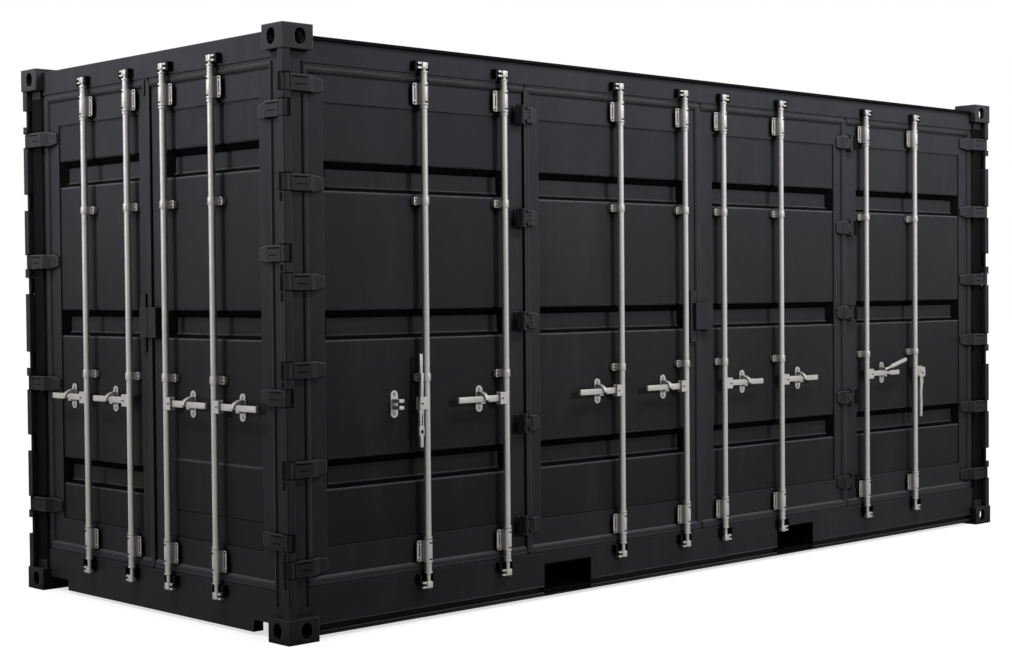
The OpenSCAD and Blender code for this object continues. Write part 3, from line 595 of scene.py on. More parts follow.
@dataclass
class LockGear:
    """Brackets, catches and handles of one leaf group, finer than the CAD nodes that they stand for."""

    leaf: Leaf
    bracket_nodes: tuple[str, ...]
    handle_node: str
    leaf_d: float = 0.069
    panel_d: float = 0.077
    rod_d: float = 0.026
    sheet: float = 0.004
    sleeve: float = 0.0225
    thin: float = 0.001
    long_in: float = 0.101
    long_half: float = 0.056
    rim: tuple[float, float] = (0.053, 0.003)
    flange: tuple[float, float] = (0.056, 0.053)
    flange_back: float = 0.037
    flange_d: float = 0.049
    # Size of the near black block of painted shade behind each long bracket's flange.
    foot: tuple[float, float] = (0.033, 0.047)
    web: float = 0.015
    slot_in: float = 0.014
    slot: tuple[float, float] = (0.0032, 0.030)
    flange_bolt: tuple[float, float] = (0.0052, 0.003)
    sleeve_rivet: tuple[float, float] = (0.0040, 0.0022)
    guide: tuple[float, float] = (0.048, 0.020)
    guide_z: tuple[float, float] = (2.0945, 1.218)
    guide_d: float = 0.052
    guide_bolt: tuple[float, float] = (0.0048, 0.002)
    handle_z: float = 1.090
    hub_u: float = 0.042
    hub_boss: tuple[float, float] = (0.0085, 0.003)
    hub_bolt: tuple[float, float] = (0.0050, 0.001)
    ring_in: tuple[float, float] = (0.026, 0.012)
    ring: tuple[float, float] = (0.0190, 0.004)
    cam_half: float = 0.0185
    cam_d: tuple[float, float] = (0.0160, 0.0135)
    cam_top: tuple[float, float] = (0.0205, 0.0555)
    cam_foot: tuple[float, float] = (0.0855, 0.0505)
    plate: tuple[float, float] = (0.023, 0.068)
    plate_t: float = 0.006
    plate_bolt: float = 0.049
    lug_z: tuple[float, float] = (0.008, 0.026)
    lug_d: float = 0.038
    open_lug_d: float = 0.013
    hook: tuple[tuple[float, float], ...] = (
        (0.073, 0.036), (0.046, 0.031), (0.024, 0.0205), (0.0095, 0.006), (0.0085, -0.004))
    hook_bar: tuple[float, float, float] = (0.0135, 0.0050, 0.0025)
    hung_path: tuple[Point, ...] = (
        (0.060, -0.030, 0.017), (0.063, -0.085, 0.012), (0.056, -0.150, 0.010), (0.060, -0.205, 0.0105),
        (0.057, -0.300, 0.0))
    strap_path: tuple[Point, ...] = (
        (0.036, 0.145, 0.009), (0.040, 0.020, 0.016), (0.042, -0.045, 0.013), (0.042, -0.120, 0.0165),
        (0.042, -0.160, 0.0095), (0.042, -0.215, 0.0))
    strap_slots: tuple[Point, ...] = ((0.0035, -0.110, -0.055), (0.0075, -0.150, -0.132))

    def build(self, finishes: "Finishes") -> None:
        """Make the brackets with their catches, the handles, the dark rivets and the painted shade behind the
        flanges.

        Args:
            finishes: The finish of every slot.
        """
        brackets = Mould(f"{self.leaf.name}_bracket_set", self.leaf.face)
        handles = Mould(f"{self.leaf.name}_handle_set", self.leaf.face)
        rivets = Mould(f"{self.leaf.name}_lock_rivets_and_shade", self.leaf.face)
        for rod in self.leaf.rods:
            for z in (self.leaf.high - self.long_in, self.leaf.low + self.long_in):
                self.long_bracket(rod, z, brackets, rivets)
            for z in self.guide_z:
                self.guide_bracket(rod, z, brackets, rivets)
            if rod.hold is not Hold.HUNG:
                self.catch(rod, brackets, rivets)
            if rod.hold in (Hold.HUNG, Hold.STRAPPED):
                self.hung(rod, handles, rivets)
            else:
                self.handle(rod, handles)
            self.rod_ends(rod, brackets)
            boss = self.rod_d - 0.017
            brackets.disc((rod.out(self.hub_u), boss, self.handle_z), *self.hub_boss, 16, 0.001)
            rivets.disc((rod.out(self.hub_u), boss - self.hub_boss[1], self.handle_z), *self.hub_bolt, 12)
        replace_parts(brackets.make(self.leaf.body, Slot.ZINC, finishes), *self.bracket_nodes)
        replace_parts(handles.make(self.leaf.body, Slot.ZINC, finishes), self.handle_node)
        rivets.make(self.leaf.body, Slot.UNDER, finishes)

    def rod_ends(self, rod: Rod, zinc: Mould) -> None:
        """Make the rings near both ends of a rod, and the rounded heads of its cams.

        Args:
            rod: The rod.
            zinc: The piece for rings and heads.
        """
        radius, high = self.ring
        for inset in self.ring_in:
            for z in (self.leaf.high - inset, self.leaf.low + inset):
                zinc.post((rod.u, self.rod_d, z - high / 2), radius, high, 24, 0.001)
        front, back = self.rod_d - self.cam_d[0], self.rod_d + self.cam_d[1]
        for foot, head in ((self.leaf.high + self.cam_top[0], self.leaf.high + self.cam_top[1]),
                           (self.leaf.low - self.cam_foot[0], self.leaf.low - self.cam_foot[1])):
            zinc.block((rod.u - self.cam_half, front, foot), (rod.u + self.cam_half, back, head), 0.0062, 3)

    def long_bracket(self, rod: Rod, z: float, zinc: Mould, dark: Mould) -> None:
        """Make one long bracket: a sleeve, a flange with a slot on both sides, their bolts, and painted shade
        behind the flange.

        Args:
            rod: The rod that it holds.
            z: Its height.
            zinc: The piece for its plates.
            dark: The piece for slots, bolts and the painted shade.
        """
        half_u, half_z = self.flange
        body, back, face = self.sleeve - self.thin, self.flange_d - self.thin, self.flange_d - self.sheet
        zinc.post((rod.u, self.rod_d, z - self.long_half), body, 2 * self.long_half, 32, 0.002)
        for end in (-1, 1):
            at, half = self.rim
            zinc.post((rod.u, self.rod_d, z + end * at - half), self.sleeve, 2 * half, 32, 0.001)
        # Painted shade: a near black block fills the space behind the flange.
        dark.block((rod.u - self.foot[0], back, z - self.foot[1]),
                   (rod.u + self.foot[0], self.leaf_d, z + self.foot[1]))
        zinc.block((rod.u - self.web, self.rod_d, z - half_z), (rod.u + self.web, back, z + half_z))
        toward = 1 if self.leaf.face is Face.END else -1
        wide = {toward: half_u, -toward: self.flange_back}
        zinc.slab((rod.u - wide[-1], face, z - half_z), (rod.u + wide[1], self.flange_d, z + half_z), 0.012)
        for side in (-1, 1):
            slot = rod.u + side * (wide[side] - self.slot_in)
            dark.slab((slot - self.slot[0], face - 0.0006, z - self.slot[1]),
                      (slot + self.slot[0], self.flange_d, z + self.slot[1]), 0.003)
            for up in (-1, 1):
                dark.disc((slot + side * 0.003, face, z + up * 0.043), *self.flange_bolt, 10, 0.001)
                dark.disc((rod.u + side * 0.004, self.rod_d - body + self.thin, z + up * 0.041),
                          *self.sleeve_rivet, 10)

    def guide_bracket(self, rod: Rod, z: float, zinc: Mould, dark: Mould) -> None:
        """Make one guide bracket: a short sleeve, two ears on feet, and their bolts.

        Args:
            rod: The rod that it holds.
            z: Its height.
            zinc: The piece for its plates.
            dark: The piece for the bolts.
        """
        half_u, half_z = self.guide
        web, foot = half_z - 0.002, half_z - 0.004
        zinc.post((rod.u, self.rod_d, z - half_z), self.sleeve - self.thin, 2 * half_z, 32, 0.003)
        zinc.block((rod.u - 0.016, self.rod_d, z - web), (rod.u + 0.016, self.panel_d, z + web))
        zinc.slab((rod.u - half_u, self.guide_d, z - half_z),
                  (rod.u + half_u, self.guide_d + self.sheet, z + half_z), 0.007)
        for side in (-1, 1):
            near, far = sorted((rod.u + side * (self.sleeve + 0.004), rod.u + side * (half_u - 0.002)))
            zinc.block((near, self.guide_d + self.thin, z - foot), (far, self.panel_d, z + foot), 0.002)
            for up in (-1, 1):
                dark.disc((rod.u + side * (half_u - 0.011), self.guide_d, z + up * 0.0095),
                          *self.guide_bolt, 10, 0.001)

    def catch(self, rod: Rod, zinc: Mould, dark: Mould) -> None:
        """Make one handle catch: a plate with round ends, two lugs, and its hook or raised lever.

        Args:
            rod: The rod whose handle it holds.
            zinc: The piece for its parts.
            dark: The piece for the bolts.
        """
        u, z = rod.out(rod.catch), self.handle_z
        half_u, half_z = self.plate
        front = self.panel_d - self.plate_t
        lug_d = self.open_lug_d if rod.hold is Hold.STRAPPED else self.lug_d
        zinc.slab((u - half_u, front, z - half_z), (u + half_u, self.panel_d, z + half_z), half_u - self.thin)
        for up in (-1, 1):
            low, high = sorted(z + up * at for at in self.lug_z)
            zinc.block((u - 0.016, lug_d, low), (u + 0.016, front + self.thin, high), 0.003)
            dark.disc((u, front, z + up * self.plate_bolt), 0.0070, 0.0012, 12)
            zinc.disc((u, front, z + up * self.plate_bolt), 0.0042, 0.0030, 10, 0.001)
        if rod.hold is Hold.HOOKED:
            for (d0, z0), (d1, z1) in zip(self.hook, self.hook[1:]):
                zinc.bar((u, d0, z + z0), (u, d1, z + z1), *self.hook_bar)
        if rod.hold is Hold.RAISED:
            lever = 0.0145
            zinc.bar((u, front, z + 0.034), (u - 0.020, 0.020, z + 0.026), 0.010, 0.005)
            zinc.bar((u - 0.038, lever, z + 0.024), (u + 0.045, lever, z + 0.044), 0.0075, 0.0075, 0.005)
            zinc.bar((u + 0.030, lever, z + 0.041), (u + 0.188, lever, z + 0.080), 0.0125, 0.0125, 0.009)

    def handle(self, rod: Rod, zinc: Mould) -> None:
        """Make one straight handle: a flat root, a thin waist in the catch and a rounded grip.

        Args:
            rod: The rod that it belongs to.
            zinc: The piece for its parts.
        """
        root = (0.030, rod.catch - 0.020, 0.006, 0.017)
        waist = (rod.catch - 0.024, rod.catch + 0.024, 0.009, 0.009)
        grip = (rod.catch + 0.020, rod.reach, 0.010, 0.0155)
        for near, far, deep, tall in (root, waist, grip):
            low, high = sorted((rod.out(near), rod.out(far)))
            zinc.block((low, self.rod_d - deep, self.handle_z - tall),
                       (high, self.rod_d + deep, self.handle_z + tall), 0.0045, 3)

    def hung(self, rod: Rod, zinc: Mould, dark: Mould) -> None:
        """Make one handle that hangs down beside its rod.

        Args:
            rod: The rod that it belongs to.
            zinc: The piece for its links.
            dark: The piece for slots and bolts.
        """
        z, d = self.handle_z, self.rod_d - 0.004
        if rod.hold is Hold.HUNG:
            path, head = self.hung_path, 0.0065
            low, high = sorted((rod.out(0.019), rod.out(0.092)))
            zinc.slab((low, head, z - 0.041), (high, 0.030, z + 0.025), 0.018)
            dark.disc((rod.out(0.064), head, z - 0.016), 0.0075, 0.001, 12)
        else:
            path, middle = self.strap_path, rod.out(0.042)
            low, high = sorted((rod.out(0.027), rod.out(0.046)))
            zinc.block((low, self.rod_d - 0.006, z + 0.140), (high, self.rod_d + 0.006, z + 0.245), 0.002)
            for half, foot, top in self.strap_slots:
                dark.block((middle - half, 0.012, z + foot), (middle + half, 0.020, z + top))
        for (u0, z0, wide), (u1, z1, _) in zip(path, path[1:]):
            zinc.bar((rod.out(u0), d, z + z0), (rod.out(u1), d, z + z1), wide, 0.0095, 0.004)


@dataclass
class RecessEdges:
    """Wedges that carry painted shade on the upper and end slopes of one leaf panel's bands, and painted highlight
    bars.
    """

    leaf: Leaf
    node: str
    bands: tuple[float, ...]
    half: float = 0.075
    depth: float = 0.034
    face: float = 0.077
    drop: float = 0.042
    run: float = 0.040
    slope: float = 0.024
    # Depth and reach below and above the bend of the painted highlight bar.
    highlight_bar: tuple[float, float, float] = (0.0035, 0.001, 0.0045)

    def build(self, finishes: "Finishes") -> None:
        """Make the shade-carrying slopes and the highlight bars.

        Args:
            finishes: The finish of every slot.
        """
        low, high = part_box(self.node)
        left, right = (-high.y, -low.y) if self.leaf.face is Face.END else (low.x, high.x)
        back = self.face + self.depth - 0.0002
        deep, under, over = self.highlight_bar
        slopes = Mould(f"{self.node}_slopes", self.leaf.face)
        lines = Mould(f"{self.node}_foot_highlights", self.leaf.face)
        for z in self.bands:
            top, foot = z + self.half, z - self.half
            # Painted shade: these wedges take the sheet's slope shade over where the recess floor lies in shadow.
            slopes.wedge((left, self.face, top - self.drop), (right, back, top - 0.001), (left, self.face, top),
                         (0.0, -self.drop, -self.depth))
            for edge, way in ((left, 1), (right, -1)):
                near, far = sorted((edge, edge + way * self.run))
                slopes.wedge((near, self.face, foot + 0.004), (far, back, top - 0.004), (edge, self.face, z),
                             (way * self.depth, -self.run, 0.0))
            bend = foot + self.slope
            # Painted highlight: a lighter bar along the lower slope's inner bend.
            lines.block((left + 0.006, back - deep, bend - under), (right - 0.006, back, bend + over), 0.001)
        slopes.make(self.leaf.body, Slot.SHEET, finishes)
        lines.make(self.leaf.body, Slot.HINGE, finishes)


@dataclass
class Hinges:
    """Grooves in the post hinge blades of one leaf group, each from, to, low and high on its blade."""

    leaf: Leaf
    heights: tuple[float, ...]
    sides: tuple[int, ...]
    blade_d: float = 0.014
    proud: float = 0.0006
    grooves: tuple[tuple[float, float, float, float], ...] = (
        (0.064, 0.150, 0.0220, 0.0285), (0.084, 0.145, -0.0105, -0.0055), (0.0495, 0.0540, -0.037, 0.037))

    def build(self, finishes: "Finishes") -> None:
        """Make the grooves.

        Args:
            finishes: The finish of every slot.
        """
        half = -CAD_BOX[0][1] if self.leaf.face is Face.END else -CAD_BOX[0][0]
        front, back = self.blade_d - self.proud, self.blade_d + 0.002
        cuts = Mould(f"{self.leaf.name}_hinge_grooves", self.leaf.face)
        for side in self.sides:
            for z in self.heights:
                for at, to, low, high in self.grooves:
                    near, far = sorted((side * (half - at), side * (half - to)))
                    cuts.block((near, front, z + low), (far, back, z + high), 0.0004)
        cuts.make(self.leaf.body, Slot.UNDER, finishes)


@dataclass
class FoldHinges:
    """Rings, grooves, rivets and a near black plate of painted shadow beside each hinge between the folding
    leaves.
    """

    leaf: Leaf
    seam: float
    low: float
    high: float
    rows: int = 5
    end_in: float = 0.1535
    off: float = 0.026
    depth: float = 0.040
    plate_d: float = 0.034
    eye_r: float = 0.015
    eye_half: float = 0.021
    ring_z: float = 0.0465
    plate: Point = (0.0165, 0.056, 0.0465)
    groove: tuple[float, float, float, float] = (0.022, 0.056, 0.0255, 0.0295)
    rivet: tuple[float, float] = (0.046, 0.012)

    def build(self, finishes: "Finishes") -> None:
        """Make the rings, grooves, plates and rivets.

        Args:
            finishes: The finish of every slot.
        """
        rings = Mould("fold_hinge_rings", self.leaf.face)
        cuts = Mould("fold_hinge_grooves_and_shade", self.leaf.face)
        first, last = self.low + self.end_in, self.high - self.end_in
        for row in range(self.rows):
            z = first + row * (last - first) / (self.rows - 1)
            for side in (-1, 1):
                self.hinge(side, z, rings, cuts)
        rings.make(self.leaf.body, Slot.HINGE, finishes)
        cuts.make(self.leaf.body, Slot.UNDER, finishes)

    def hinge(self, side: int, z: float, rings: Mould, cuts: Mould) -> None:
        """Dress one hinge.

        Args:
            side: -1 for the left fold, 1 for the right one.
            z: Its height.
            rings: The piece for the rings.
            cuts: The piece for the dark parts.
        """
        pin = side * (self.seam + self.off)
        front, back = self.plate_d - 0.0006, self.plate_d + 0.001
        for up in (-1, 1):
            rings.post((pin, self.depth, z + up * self.ring_z - 0.002), self.eye_r + 0.0015, 0.004, 20, 0.001)
            cuts.post((pin, self.depth, z + up * (self.eye_half + 0.00075) - 0.001), self.eye_r - 0.001, 0.002, 20)
            cuts.disc((pin - side * self.rivet[0], self.plate_d, z + up * self.rivet[1]), 0.0042, 0.0014, 10)
        # Painted shadow: a near black plate on the side of each hinge away from the middle of the door side.
        at, to, tall = self.plate
        near, far = sorted((pin + side * at, pin + side * to))
        cuts.block((near, front, z - tall), (far, back, z + tall))
        at, to, low, high = self.groove
        near, far = sorted((pin - side * at, pin - side * to))
        cuts.block((near, front, z + low), (far, back, z + high))


@dataclass
class SealLips:
    """The rubber lips that close the gaps round one leaf, and the tongue where the two end leaves meet."""

    leaf: Leaf
    spans: tuple[tuple[float, float, bool, bool], ...]
    over: float = 0.010
    out: float = 0.005
    front: float = 0.0553
    back: float = 0.0685
    tongue: tuple[float, float, float] = (0.045, 0.026, 0.085)

    def build(self, finishes: "Finishes") -> None:
        """Make lips along top and bottom of every span, and on its upright edges.

        Args:
            finishes: The finish of every slot.
        """
        mould = Mould(f"{self.leaf.name}_seal_lips", self.leaf.face)
        low, high = self.leaf.low + LEAF_GAP, self.leaf.high - LEAF_GAP
        for left, right, at_left, at_right in self.spans:
            for edge, way in ((high, 1), (low, -1)):
                near, far = sorted((edge - way * self.over, edge + way * self.out))
                mould.block((left - self.out, self.front, near), (right + self.out, self.back, far), 0.002)
            for edge, way, wanted in ((left, -1, at_left), (right, 1, at_right)):
                if wanted:
                    near, far = sorted((edge - way * self.over, edge + way * self.out))
                    mould.block((near, self.front, low - self.out), (far, self.back, high + self.out), 0.002)
        if self.leaf.body is Body.FAR_DOOR:
            seam = self.spans[-1][1]
            at, to, long = self.tongue
            mould.block((seam - at, 0.046, high - long), (seam - to, 0.056, high - 0.002), 0.004)
            mould.disc((seam - 0.038, 0.056, high - 0.010), 0.013, 0.011, 16, 0.003)
        mould.make(self.leaf.body, Slot.SEAL, finishes)


@dataclass
class CornerWelds:
    """Weld runs where the castings meet the posts and rails, on both faces of every corner."""

    near: float = 0.036
    far: float = 0.043
    start: float = 0.052
    end: float = 0.145
    grow: float = 0.0025
    high: float = 0.007

    def build(self, finishes: "Finishes") -> None:
        """Make the runs on all four corners.

        Args:
            finishes: The finish of every slot.
        """
        (x0, y0, _), (x1, y1, _) = CAD_BOX
        under, over = max(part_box("top_castings")[0].z, 2.7) - 0.002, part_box("bottom_castings")[1].z - 0.005
        runs = (((self.start, self.near), (self.end, self.far)), ((self.near, self.start), (self.far, self.end)))
        mould = Mould("corner_welds", Face.SIDE)
        for x, way_x in ((x0, 1), (x1, -1)):
            for y, way_y in ((0.0, 1), (y1 - y0, -1)):
                for z in (under, over):
                    for at, to in runs:
                        us = sorted((x + way_x * at[0], x + way_x * to[0]))
                        ds = sorted((y + way_y * at[1], y + way_y * to[1]))
                        mould.block((us[0] - self.grow, ds[0] - self.grow, z),
                                    (us[1] + self.grow, ds[1] + self.grow, z + self.high), 0.0024)
        mould.make(Body.SHELL, Slot.CAST, finishes)


@dataclass
class FloorScrews:
    """Rows of screw heads in the plywood floor."""

    pitch: float = 0.42
    across: int = 15
    end_in: float = 0.06
    side_in: float = 0.05

    def build(self, finishes: "Finishes") -> None:
        """Make the screw heads.

        Args:
            finishes: The finish of every slot.
        """
        low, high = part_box("floor_boards")
        mould = Mould("floor_screws", Face.SIDE)
        rows = int((high.x - low.x - 0.1) / self.pitch)
        for row in range(rows + 1):
            x = low.x + self.end_in + row * (high.x - low.x - 2 * self.end_in) / rows
            for k in range(self.across):
                y = low.y + self.side_in + k * (high.y - low.y - 2 * self.side_in) / (self.across - 1)
                mould.post((x, y - CAD_BOX[0][1], high.z - 0.002), 0.0065, 0.0028, 8)
        mould.make(Body.SHELL, Slot.ZINC, finishes)


@dataclass
class ColumnMarks:
    """Dark slots and drain holes, and near black gaps, strips and lines of painted shade, on the hinge columns and
    the posts behind them.
    """

    end_rows: tuple[float, ...]
    side_rows: tuple[float, ...]
    between: tuple[float, ...] = (0.413, 1.216, 1.761, 2.564)
    front: float = 0.006
    back: float = 0.048
    proud: float = 0.0004
    blade_half: float = 0.0387
    gap_and_shade: float = 0.0058
    notch_half: float = 0.046
    slot: Point = (0.044, 0.021, 0.006)
    slot_below: tuple[float, float] = (0.0695, 0.0225)
    filler: Point = (0.019, 0.049, 0.0445)
    post_d: float = 0.036
    post_z: tuple[float, float] = (0.165, 2.73)

    def build(self, finishes: "Finishes") -> None:
        """Make the marks on all four columns.

        Args:
            finishes: The finish of every slot.
        """
        self.slots(finishes)
        self.eye_shades(finishes)
        self.eye_gap_shades(finishes)
        self.end_lines(finishes)
        self.side_lines(finishes)

    def slots(self, finishes: "Finishes") -> None:
        """Make the slots and two drain holes in the near column.

        Args:
            finishes: The finish of every slot.
        """
        edge = -CAD_BOX[0][1]
        far, near, corner = self.slot
        marks = Mould("nose_marks", Face.END)
        for up in (-1, 1):
            marks.disc((edge - 0.018, self.front, self.between[-1] + up * 0.007), 0.0028, 0.0006, 8)
        below, long = self.slot_below
        free = [z for z in self.side_rows if not any(0.0 < z - at < 0.2 for at in self.end_rows)]
        for z, half in [(z, 0.016) for z in self.between[:-1]] + [(z - below, long) for z in free]:
            marks.slab((edge - far, self.front - 0.0005, z - half),
                       (edge - near, self.front + 0.001, z + half), corner)
        marks.make(Body.SHELL, Slot.UNDER, finishes)

    def eye_shades(self, finishes: "Finishes") -> None:
        """Make near black strips beside the hinge eyes of the near column, painted shade.

        Args:
            finishes: The finish of every slot.
        """
        x0 = CAD_BOX[0][0]
        front, deep, half = self.front - self.proud, self.front + 0.004, self.blade_half - 0.0012
        for name, body, rows, low, high in (
                ("near_eye_shades", Body.NEAR_DOOR, self.end_rows, (0.030, front), (self.back, deep)),
                ("side_eye_shades", Body.SHELL, self.side_rows, (front, 0.025), (deep, self.back))):
            shades = Mould(name, Face.SIDE)
            for z in rows:
                # Painted shade: a near black strip beside each hinge eye.
                shades.block((x0 + low[0], low[1], z - half), (x0 + high[0], high[1], z + half))
            shades.make(body, Slot.UNDER, finishes)

    def eye_gap_shades(self, finishes: "Finishes") -> None:
        """Make near black bands over and under every hinge eye, the real gap widened with painted shade, and near
        black fillers of painted shade in the cuts without a hinge.

        Args:
            finishes: The finish of every slot.
        """
        (x0, y0, _), (x1, y1, _) = CAD_BOX
        wide, all_rows = y1 - y0, self.end_rows + self.side_rows
        gaps = Mould("hinge_eye_gap_shades", Face.SIDE)
        for x, d, used, empty in ((x0, 0.0, all_rows, ()), (x1, 0.0, self.side_rows, self.end_rows),
                                  (x0, wide, self.end_rows, self.side_rows), (x1, wide, (), all_rows)):
            us, ds = self.inside(x, d, self.front - self.proud, self.back + self.proud)
            # Painted shade: each band is wider than the real gap.
            for z in used:
                for up in (-1, 1):
                    low, high = sorted((z + up * self.blade_half, z + up * (self.blade_half + self.gap_and_shade)))
                    gaps.block((us[0], ds[0], low), (us[1], ds[1], high))
            # Painted shade: near black fillers close the cuts where no hinge sits.
            near, far, half = self.filler
            us, ds = self.inside(x, d, near, far)
            for z in empty:
                gaps.block((us[0], ds[0], z - half), (us[1], ds[1], z + half))
        gaps.make(Body.SHELL, Slot.UNDER, finishes)

    @staticmethod
    def inside(x: float, d: float, near: float, far: float) -> tuple[list[float], list[float]]:
        """Measure inward from a corner along both faces.

        Args:
            x: The corner's place along the side.
            d: The corner's depth behind the side.
            near: First distance from the corner.
            far: Second distance from the corner.

        Returns:
            The two places along the side and the two depths, each lower one first.
        """
        way_x, way_d = (1 if x < 0.0 else -1), (1 if d == 0.0 else -1)
        return sorted((x + way_x * near, x + way_x * far)), sorted((d + way_d * near, d + way_d * far))

    def end_lines(self, finishes: "Finishes") -> None:
        """Make near black strips of painted shade on the posts of the door end.

        Args:
            finishes: The finish of every slot.
        """
        y0, y1 = CAD_BOX[0][1], CAD_BOX[1][1]
        lines = Mould("end_post_shade_lines", Face.END)
        for left, right in ((y0 + 0.052, y0 + 0.144), (y1 - 0.144, y1 - 0.124), (y1 - 0.056, y1 - 0.0485)):
            self.strip(lines, left, right)
        lines.make(Body.SHELL, Slot.UNDER, finishes)

    def side_lines(self, finishes: "Finishes") -> None:
        """Make near black strips of painted shade on the posts and below the top rail's lip of the door side, and
        along the near column's edge.

        Args:
            finishes: The finish of every slot.
        """
        x0, x1 = CAD_BOX[0][0], CAD_BOX[1][0]
        lines = Mould("side_post_shade_lines", Face.SIDE)
        for left, right in ((x1 - 0.144, x1 - 0.052), (x0 + 0.130, x0 + 0.144)):
            self.strip(lines, left, right)
        # Painted shadow of the top rail's lip.
        lines.block((x0 + RAIL_IN, 0.0351, 2.835), (x1 - RAIL_IN, 0.0372, 2.8506))
        low, high = self.post_z
        rows = sorted(self.end_rows + self.side_rows)
        stops = [low, *(z + up * self.notch_half for z in rows for up in (-1, 1)), high]
        for foot, head in zip(stops[::2], stops[1::2]):
            # Painted shade along the near column's edge, broken at the hinge cuts.
            lines.block((x0 + self.front, self.front - self.proud, foot),
                        (x0 + self.front + 0.003, self.front + 0.001, head))
        lines.make(Body.SHELL, Slot.UNDER, finishes)

    def strip(self, lines: Mould, left: float, right: float) -> None:
        """Add one strip on a post's face from left to right."""
        low, high = self.post_z
        lines.block((left, self.post_d - 0.0006, low), (right, self.post_d + 0.001, high))


@dataclass
class RailHighlights:
    """Lighter bars along the lower edges of the door side bottom rail, between the fork pockets, as painted
    highlights.
    """

    pocket: float = 0.362
    rows: tuple[tuple[float, float, float, float], ...] = (
        (0.0485, 0.0515, 0.0655, 0.0715), (0.0505, 0.0540, 0.0215, 0.0375))

    def build(self, finishes: "Finishes") -> None:
        """Make the highlight bars.

        Args:
            finishes: The finish of every slot.
        """
        low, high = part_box("fork_pockets")
        x0, x1 = CAD_BOX[0][0], CAD_BOX[1][0]
        stops = (x0 + RAIL_IN, low.x, low.x + self.pocket, high.x - self.pocket, high.x, x1 - RAIL_IN)
        mould = Mould("rail_highlights", Face.SIDE)
        for left, right in zip(stops[::2], stops[1::2]):
            for front, back, foot, head in self.rows:
                # Painted highlight: lighter bars in the hinge paint along the rail's lower edges.
                mould.block((left, front, foot), (right, back, head), 0.0012)
        mould.make(Body.SHELL, Slot.HINGE, finishes)


@dataclass(frozen=True)
class Paint:
    """Sprayed paint on steel with a painted highlight on edges and painted shade low down, in crevices and on band
    slopes.
    """

    name: str
    colour: Colour
    # Colour of the painted highlight on edges.
    edge: Colour
    roughness: float = 0.42
    edge_radius: float = 0.004
    peel: float = 0.00025
    cast: float = 0.0
    # Share of the painted highlight on edges.
    edge_highlight: float = 0.6
    # Share of the painted shade on band slopes and on faces turned from the door faces; it also keeps the edge
    # highlight to edges that face up.
    slope_shade: float = 0.0
    # Reach of the painted shade in crevices.
    reach: float = 0.07
    # Share of the painted shade that darkens the colour towards the bottom.
    bottom_shade: float = 1.0
    # Share of the painted shade in crevices.
    crevice_shade: float = 0.85
    dusty: float = 0.10

    def build(self) -> bpy.types.Material:
        """Make the material.

        Returns:
            The material.
        """
        mix = Recipe(self.name)
        broad = mix.noise(1.3, 4.0, 0.55)
        cloud = mix.noise(14.0, 3.0, 0.6)
        peel = mix.noise(260.0, 2.0, 0.5)
        edge, soft = mix.edges(self.edge_radius)
        dust = mix.noise(3.0, 5.0, 0.65, mix.stretched((1.0, 1.0, 0.25)))
        # Painted shade: the colour darkens towards the bottom, by up to 36 to 46 per cent scaled by this paint's
        # share.
        low = tuple((1.0 - self.bottom_shade * shade_loss) * c for shade_loss, c in zip((0.36, 0.38, 0.46), self.colour))
        tone = mix.blend(mix.axis("Z").rise(0.4, 2.4), low, self.colour)
        patch = (broad * 0.6 + cloud * 0.4).rise(0.25, 0.75) * 0.38 + 0.81
        shade = mix.node("ShaderNodeCombineColor", sockets={0: patch, 1: patch, 2: patch})
        tone = mix.blend(1.0, tone, shade.outputs[0], "MULTIPLY")
        tone = mix.blend(dust.rise(0.52, 0.8) * self.dusty, tone, (0.12, 0.12, 0.125))
        # Painted shade: the paint is mixed toward near black where other surfaces within the reach close it in.
        dull = mix.crevice(self.reach).rise(0.30, 0.75) * self.crevice_shade
        if self.slope_shade:
            # Painted shade: slopes between upright and level are mixed toward near black except on edges that face
            # up, which keep a painted highlight, and faces turned in plan from the door faces are mixed toward
            # near black too.
            level = mix.tilt()
            slope = level.rise(0.40, 0.62) * (1.0 - level.rise(0.88, 0.93))
            split = mix.node("ShaderNodeSeparateXYZ", sockets={0: soft})
            edge = (edge * 5.0 * mix.wire(split.outputs["Z"]).rise(0.03, 0.2)).clamped()
            dull = ((dull + slope * self.slope_shade) * (1.0 - edge) + mix.skew() * self.slope_shade).clamped()
        mix.dim(dull, (0.002, 0.002, 0.002))
        # Painted highlight: the edges are mixed toward the pale edge colour, varied by the cloud noise.
        lit_edges = (edge * (0.55 + cloud * 0.6) * self.edge_highlight).clamped()
        height = peel * 0.25
        if self.cast:
            height = height + mix.noise(90.0, 4.0, 0.6) * self.cast
        return mix.finish(
            Base_Color=mix.blend(lit_edges, tone, self.edge),
            Roughness=(self.roughness + (cloud - 0.5) * 0.16 + (dust - 0.5) * 0.12).clamped(),
            Specular_IOR_Level=0.02,
            Normal=mix.bump(height, self.peel * 4.0, soft))


